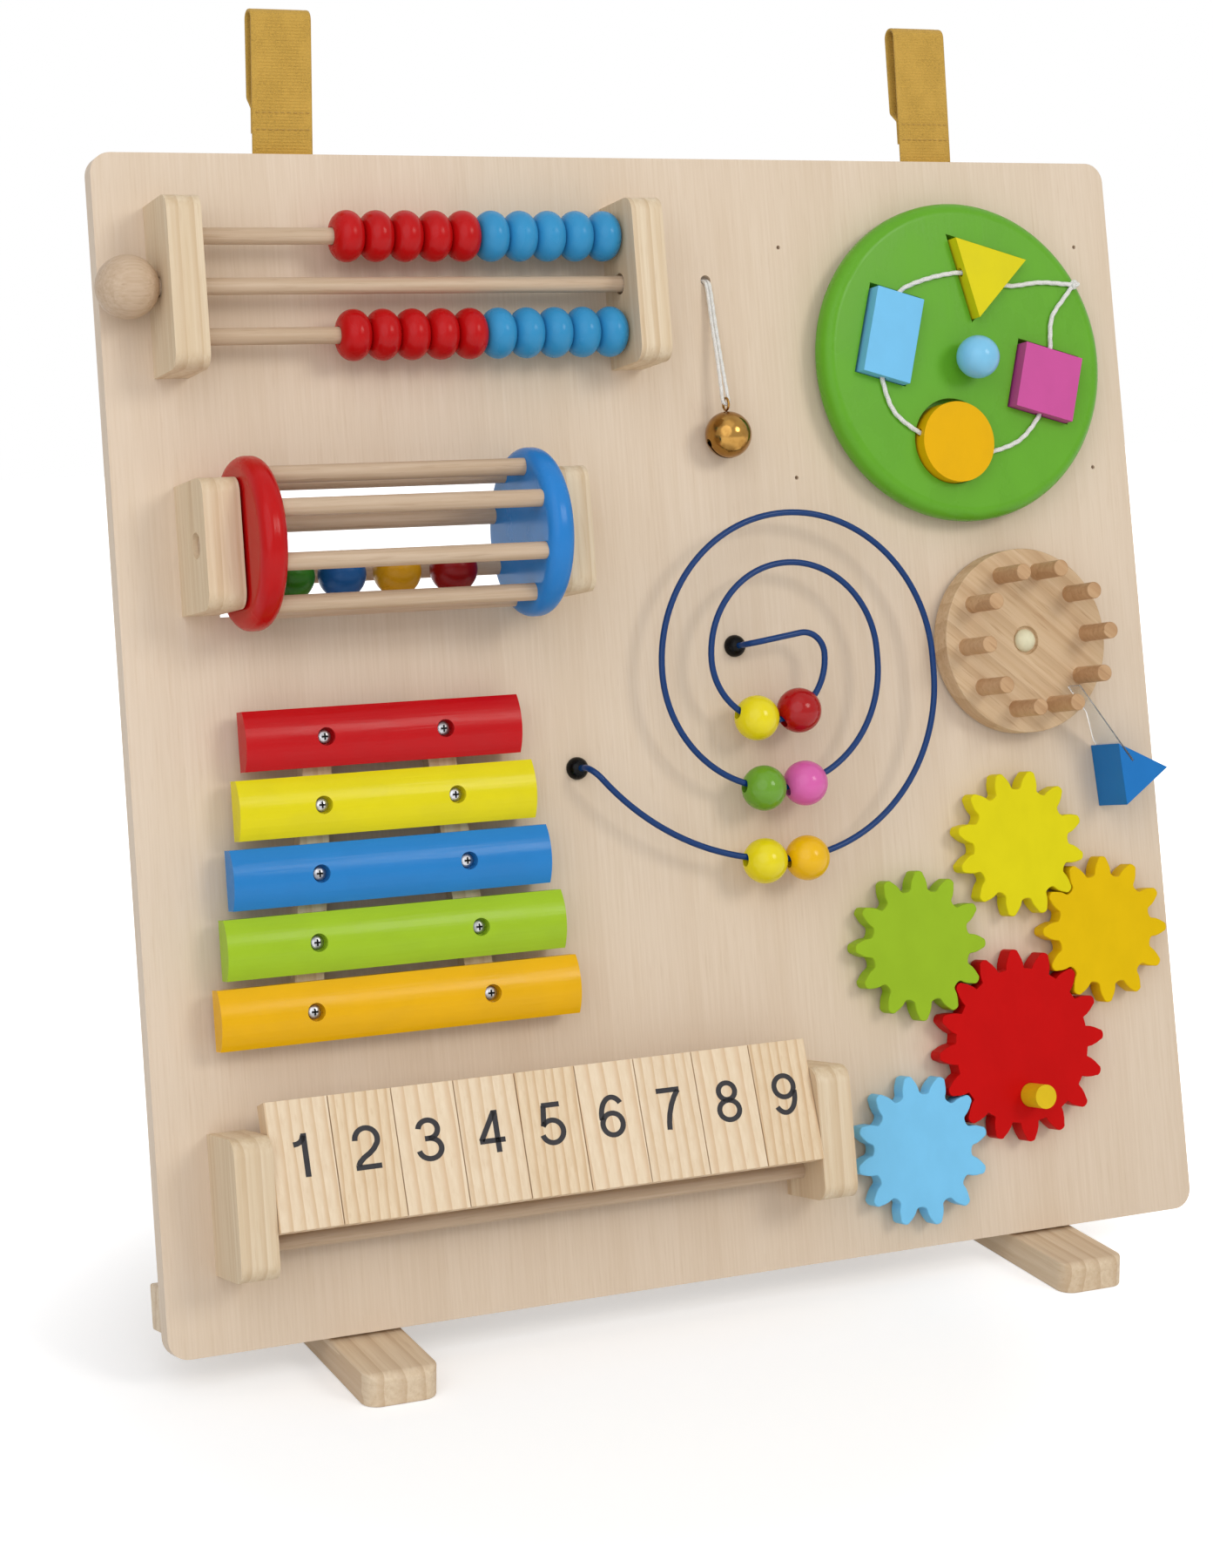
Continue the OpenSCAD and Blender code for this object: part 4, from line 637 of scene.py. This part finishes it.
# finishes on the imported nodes
woods = {
    "panelBirch": {
        "nodes": ["panel"], "turn": faceTurn, "fine": 760, "rough": 0.5,
        "ringWidth": 0.05, "ringBend": 5.0, "rings": 0.1, "flecks": 0.16,
        "light": (225, 206, 184), "dark": (217, 196, 171), "late": (198, 171, 141)},
    "blockPine": {
        "nodes": ["board_blocks"], "turn": faceTurn, "fine": 420, "rough": 0.48,
        "ringWidth": 0.0085, "ringBend": 4.0, "rings": 0.4, "flecks": 0.2,
        "light": (229, 211, 183), "dark": (214, 190, 156), "late": (190, 156, 115)},
    "footPine": {
        "nodes": ["feet"], "turn": (0, 0, 0), "fine": 420, "rough": 0.48,
        "ringWidth": 0.009, "ringBend": 4.0, "rings": 0.42, "flecks": 0.2,
        "light": (226, 206, 178), "dark": (210, 185, 152), "late": (184, 150, 113)},
    "battenPine": {
        "nodes": ["rear_batten"], "turn": (0, 0, 90), "fine": 420, "rough": 0.48,
        "ringWidth": 0.009, "ringBend": 4.0, "rings": 0.42, "flecks": 0.2,
        "light": (226, 206, 178), "dark": (210, 185, 152), "late": (184, 150, 113)},
    "tilePine": {
        "nodes": ["tile_1", "tile_4", "tile_7"], "turn": faceTurn, "fine": 480, "rough": 0.5,
        "ringWidth": 0.0058, "ringBend": 2.2, "rings": 0.6, "flecks": 0.16,
        "light": (236, 216, 187), "dark": (226, 202, 170), "late": (205, 168, 124)},
    "tilePineWarm": {
        "nodes": ["tile_2", "tile_5", "tile_9"], "turn": (faceTurn[0], 0, 1.2), "fine": 430, "rough": 0.5,
        "ringWidth": 0.0049, "ringBend": 2.8, "rings": 0.62, "flecks": 0.18,
        "light": (234, 212, 180), "dark": (223, 198, 163), "late": (199, 159, 114)},
    "tilePinePale": {
        "nodes": ["tile_3", "tile_6", "tile_8"], "turn": (faceTurn[0], 0, -1.0), "fine": 520, "rough": 0.5,
        "ringWidth": 0.0071, "ringBend": 1.8, "rings": 0.62, "flecks": 0.14,
        "light": (238, 218, 189), "dark": (229, 206, 174), "late": (208, 170, 128)},
    "rodBeech": {
        "nodes": ["dowel_rods", "mallet", "drum_dowels"], "turn": (0, 0, 90), "fine": 700, "rough": 0.5,
        "ringWidth": 0.004, "ringBend": 3.0, "rings": 0.12, "flecks": 0.3,
        "light": (206, 182, 156), "dark": (190, 163, 134), "late": (164, 133, 104)},
    "wheelBeech": {
        "nodes": ["peg_wheel"], "turn": (faceTurn[0], 0, -50), "fine": 420, "rough": 0.5,
        "ringWidth": 0.012, "ringBend": 5.0, "rings": 0.35, "flecks": 0.45,
        "light": (216, 188, 152), "dark": (199, 166, 127), "late": (170, 132, 93),
        "pegs": (14.7, 60), "pegTone": (240, 226, 214)},  # the pegs, this far off the board, are redder
}
for name, look in woods.items():
    finish = woodFinish(name, look)
    for node in look["nodes"]:
        dress(nodes[node], finish)

paints = {  # colour, roughness, nodes
    "abacusRed": ((188, 14, 16), 0.24, ["upper_red_beads", "lower_red_beads"]),
    "abacusBlue": ((56, 146, 196), 0.24, ["upper_blue_beads", "lower_blue_beads"]),
    "drumRed": ((190, 12, 13), 0.22, ["drum_disc_red"]),
    "drumBlue": ((42, 128, 202), 0.22, ["drum_disc_blue"]),
    # painted shade: the rattle balls' colours are darkened for the shade they lie in inside the drum
    "ballGreenPaintedShade": ((48, 112, 26), 0.3, ["rattle_ball_green"]),
    "ballBluePaintedShade": ((29, 84, 142), 0.3, ["rattle_ball_blue"]),
    "ballYellowPaintedShade": ((196, 142, 20), 0.3, ["rattle_ball_yellow"]),
    "ballRedPaintedShade": ((128, 10, 12), 0.3, ["rattle_ball_red"]),
    "barRed": ((192, 14, 20), 0.2, ["bar_red"]),
    "barYellow": ((228, 214, 20), 0.2, ["bar_yellow"]),
    "barBlue": ((40, 128, 198), 0.2, ["bar_blue"]),
    "barGreen": ((160, 195, 38), 0.2, ["bar_green"]),
    "barOrange": ((235, 177, 8), 0.2, ["bar_orange"]),
    "beadYellow": ((234, 216, 22), 0.15, ["maze_bead_lemon", "maze_bead_yellow"]),
    "beadAmber": ((239, 186, 12), 0.15, ["maze_bead_orange"]),
    "beadGreen": ((110, 162, 44), 0.15, ["maze_bead_green"]),
    "beadPink": ((220, 100, 172), 0.15, ["maze_bead_pink"]),
    "beadRed": ((172, 10, 12), 0.15, ["maze_bead_red"]),
    "discGreen": ((100, 168, 40), 0.28, ["shape_disc"]),
    "shapeYellow": ((224, 210, 26), 0.38, ["shape_triangle"]),
    "shapeBlue": ((121, 196, 238), 0.38, ["shape_rectangle"]),
    "shapeAmber": ((233, 177, 6), 0.38, ["shape_round"]),
    "shapePink": ((205, 86, 156), 0.38, ["shape_square"]),
    "knobBlue": ((128, 198, 234), 0.15, ["disc_knob"]),
    "blockBlue": ((38, 120, 193), 0.38, ["clicker_block"]),
    "gearRed": ((199, 9, 9), 0.4, ["gear_red"]),
    "gearGreen": ((153, 187, 40), 0.4, ["gear_green"]),
    "gearAmber": ((229, 188, 4), 0.4, ["gear_amber"]),
    "gearYellow": ((225, 212, 20), 0.4, ["gear_yellow"]),
    "gearBlue": ((126, 201, 242), 0.4, ["gear_light_blue"]),
    "handleYellow": ((226, 190, 26), 0.3, ["gear_handle"]),
}
for name, (rgb, rough, named) in paints.items():
    isBar = name.startswith("bar")  # the bars' grain runs across, and shows through the paint
    finish = paintFinish(name, rgb, (0, 0, 90) if isBar else faceTurn, rough,
                         paintCoat["barGrain" if isBar else "grain"])
    for node in named:
        dress(nodes[node], finish)

metals = {
    "screwSteel": {"node": "screws", "rgb": (184, 184, 186), "stain": (134, 134, 136), "rough": 0.28,
                   "dark": (0, 16.85)},  # painted shade: the screws are near black up to this far off the board, where the slots lie
    "pinSteel": {"node": "axle_pins", "rgb": (198, 198, 200), "stain": (150, 150, 152), "rough": 0.3},
    "bellBrass": {"node": "bell", "rgb": (164, 124, 64), "stain": (148, 108, 52), "rough": 0.15},
}
for name, look in metals.items():
    dress(nodes[look["node"]], metalFinish(name, look))
dress(nodes["maze_wire"], plasticFinish("wireBlue", (14, 58, 116), 0.2, 0.2))
dress(nodes["maze_ferrules"], plasticFinish("ferruleBlack", (8, 8, 9), 0.26, 0.12))

tongue = {"cloud": (200, 200, 200), "tones": ((0.86, 0.9, 0.92, 1), (0.95, 0.97, 0.98, 1)),
          "rough": (0.04, 0.16), "clear": 0.92, "bending": 1.42}


def clearFinish(name):
    finish, tree, shader = newFinish(name)
    cloud = noise(tree, grainCoords(tree, (0, 0, 0), tongue["cloud"]), detail=2)
    tree.links.new(mixColour(tree, cloud, *tongue["tones"]), shader.inputs["Base Color"])
    tree.links.new(spread(tree, cloud, 0.2, 0.8, *tongue["rough"]), shader.inputs["Roughness"])
    shader.inputs["Transmission Weight"].default_value = tongue["clear"]
    shader.inputs["IOR"].default_value = tongue["bending"]
    return finish


dress(nodes["clicker_tongue"], clearFinish("tongueClear"))
print("finishes set")

# softened edges on the flat-sided pieces, in millimetres
rounding = {"join": 0.000002, "flat": 0.5, "segments": 2, "sharp": 35}  # metres, degrees, count, degrees
softEdges = {"panel": 0.8, "feet": 1.0, "board_blocks": 1.2, "rear_batten": 1.0, "peg_wheel": 0.9,
             "clicker_block": 0.8}
softEdges.update({"tile_%d" % k: 0.8 for k in range(1, 10)})
softEdges.update({"bar_" + k: 0.9 for k in ("red", "yellow", "blue", "green", "orange")})
softEdges.update({"shape_" + k: 0.9 for k in ("triangle", "rectangle", "round", "square")})
softEdges.update({"gear_" + k: 0.7 for k in ("red", "green", "amber", "yellow", "light_blue")})
for node, width in softEdges.items():
    piece = nodes[node]
    weld = piece.modifiers.new("joinSeams", "WELD")
    weld.merge_threshold = rounding["join"]
    merge = piece.modifiers.new("joinFlats", "DECIMATE")
    merge.decimate_type = "DISSOLVE"
    merge.angle_limit = math.radians(rounding["flat"])
    bevel = piece.modifiers.new("roundEdges", "BEVEL")
    bevel.width = width / 1000
    bevel.segments = rounding["segments"]
    bevel.limit_method = "ANGLE"
    bevel.angle_limit = math.radians(rounding["sharp"])
    bevel.use_clamp_overlap = True
    piece.modifiers.new("evenShade", "WEIGHTED_NORMAL")
print("edges softened")

# floor, lamps and surroundings: seen directly the floor glows, a painted glow that is weak near the feet so
# the floor keeps its shade there, and is white farther out
stage = {"floor": 8.0, "floorTone": 0.82, "floorLift": 0.35, "shadeSpot": (-0.09, -0.1, 0),
         "fadeFrom": 0.17, "fadeTo": 0.48, "worldLow": 0.47}


def seenDirectly(tree):
    rays = tree.nodes.new("ShaderNodeLightPath").outputs
    return calc(tree, "MAXIMUM", rays["Is Camera Ray"],
                calc(tree, "MAXIMUM", rays["Is Glossy Ray"], rays["Is Transmission Ray"]))


floorFinish = bpy.data.materials.new("paleFloor")
floorFinish.use_nodes = True
tree = floorFinish.node_tree
tree.nodes.clear()
output = tree.nodes.new("ShaderNodeOutputMaterial")
tone = stage["floorTone"]
matt = addNode(tree, "ShaderNodeBsdfDiffuse", Color=(tone, tone, tone, 1))
away = addNode(tree, "ShaderNodeVectorMath", {"operation": "DISTANCE"}, at1=stage["shadeSpot"],
               at0=tree.nodes.new("ShaderNodeTexCoord").outputs["Object"]).outputs["Value"]
# painted glow on the floor: weakest around shadeSpot, full white from fadeTo out
lift = spread(tree, away, stage["fadeFrom"], stage["fadeTo"], stage["floorLift"], 1.0)
seenLift = calc(tree, "MULTIPLY", seenDirectly(tree), lift)
glow = addNode(tree, "ShaderNodeEmission", Color=(1, 1, 1, 1), Strength=seenLift)
both = tree.nodes.new("ShaderNodeAddShader")
tree.links.new(matt.outputs[0], both.inputs[0])
tree.links.new(glow.outputs[0], both.inputs[1])
tree.links.new(both.outputs[0], output.inputs["Surface"])
half = stage["floor"] / 2
floor = addPiece("paleFloor", [(-half, -half, 0), (half, -half, 0), (half, half, 0), (-half, half, 0)],
                 [(0, 1, 2, 3)], floorFinish, smooth=False)

world = bpy.data.worlds.new("paleRoom")
scene.world = world
world.use_nodes = True
tree = world.node_tree
tree.nodes.clear()
output = tree.nodes.new("ShaderNodeOutputWorld")
dim = addNode(tree, "ShaderNodeBackground", Color=(1, 1, 1, 1), Strength=stage["worldLow"])
white = addNode(tree, "ShaderNodeBackground", Color=(1, 1, 1, 1), Strength=1.0)
choice = tree.nodes.new("ShaderNodeMixShader")
tree.links.new(seenDirectly(tree), choice.inputs[0])
tree.links.new(dim.outputs[0], choice.inputs[1])
tree.links.new(white.outputs[0], choice.inputs[2])
tree.links.new(choice.outputs[0], output.inputs["Surface"])

lampAim = Vector((0, 0, 0.33))
lamps = {  # spot, power in watts, size in metres, tint
    "keyLamp": ((1.5, -3.1, 2.2), 35.5, 1.35, (1.0, 0.98, 0.92)),
    "fillLamp": ((-1.35, -1.75, 1.35), 21, 2.5, (0.965, 1.0, 1.08)),
    "topLamp": ((-0.4, -1.2, 2.6), 5, 2.0, (1.0, 1.0, 1.0)),
}
for name, (spot, power, size, tint) in lamps.items():
    data = bpy.data.lights.new(name, "AREA")
    data.energy = power
    data.color = tint
    data.shape = "DISK"
    data.size = size
    lamp = bpy.data.objects.new(name, data)
    lamp.location = spot
    lamp.rotation_euler = (lampAim - Vector(spot)).to_track_quat("-Z", "Y").to_euler()
    scene.collection.objects.link(lamp)
print("stage set")
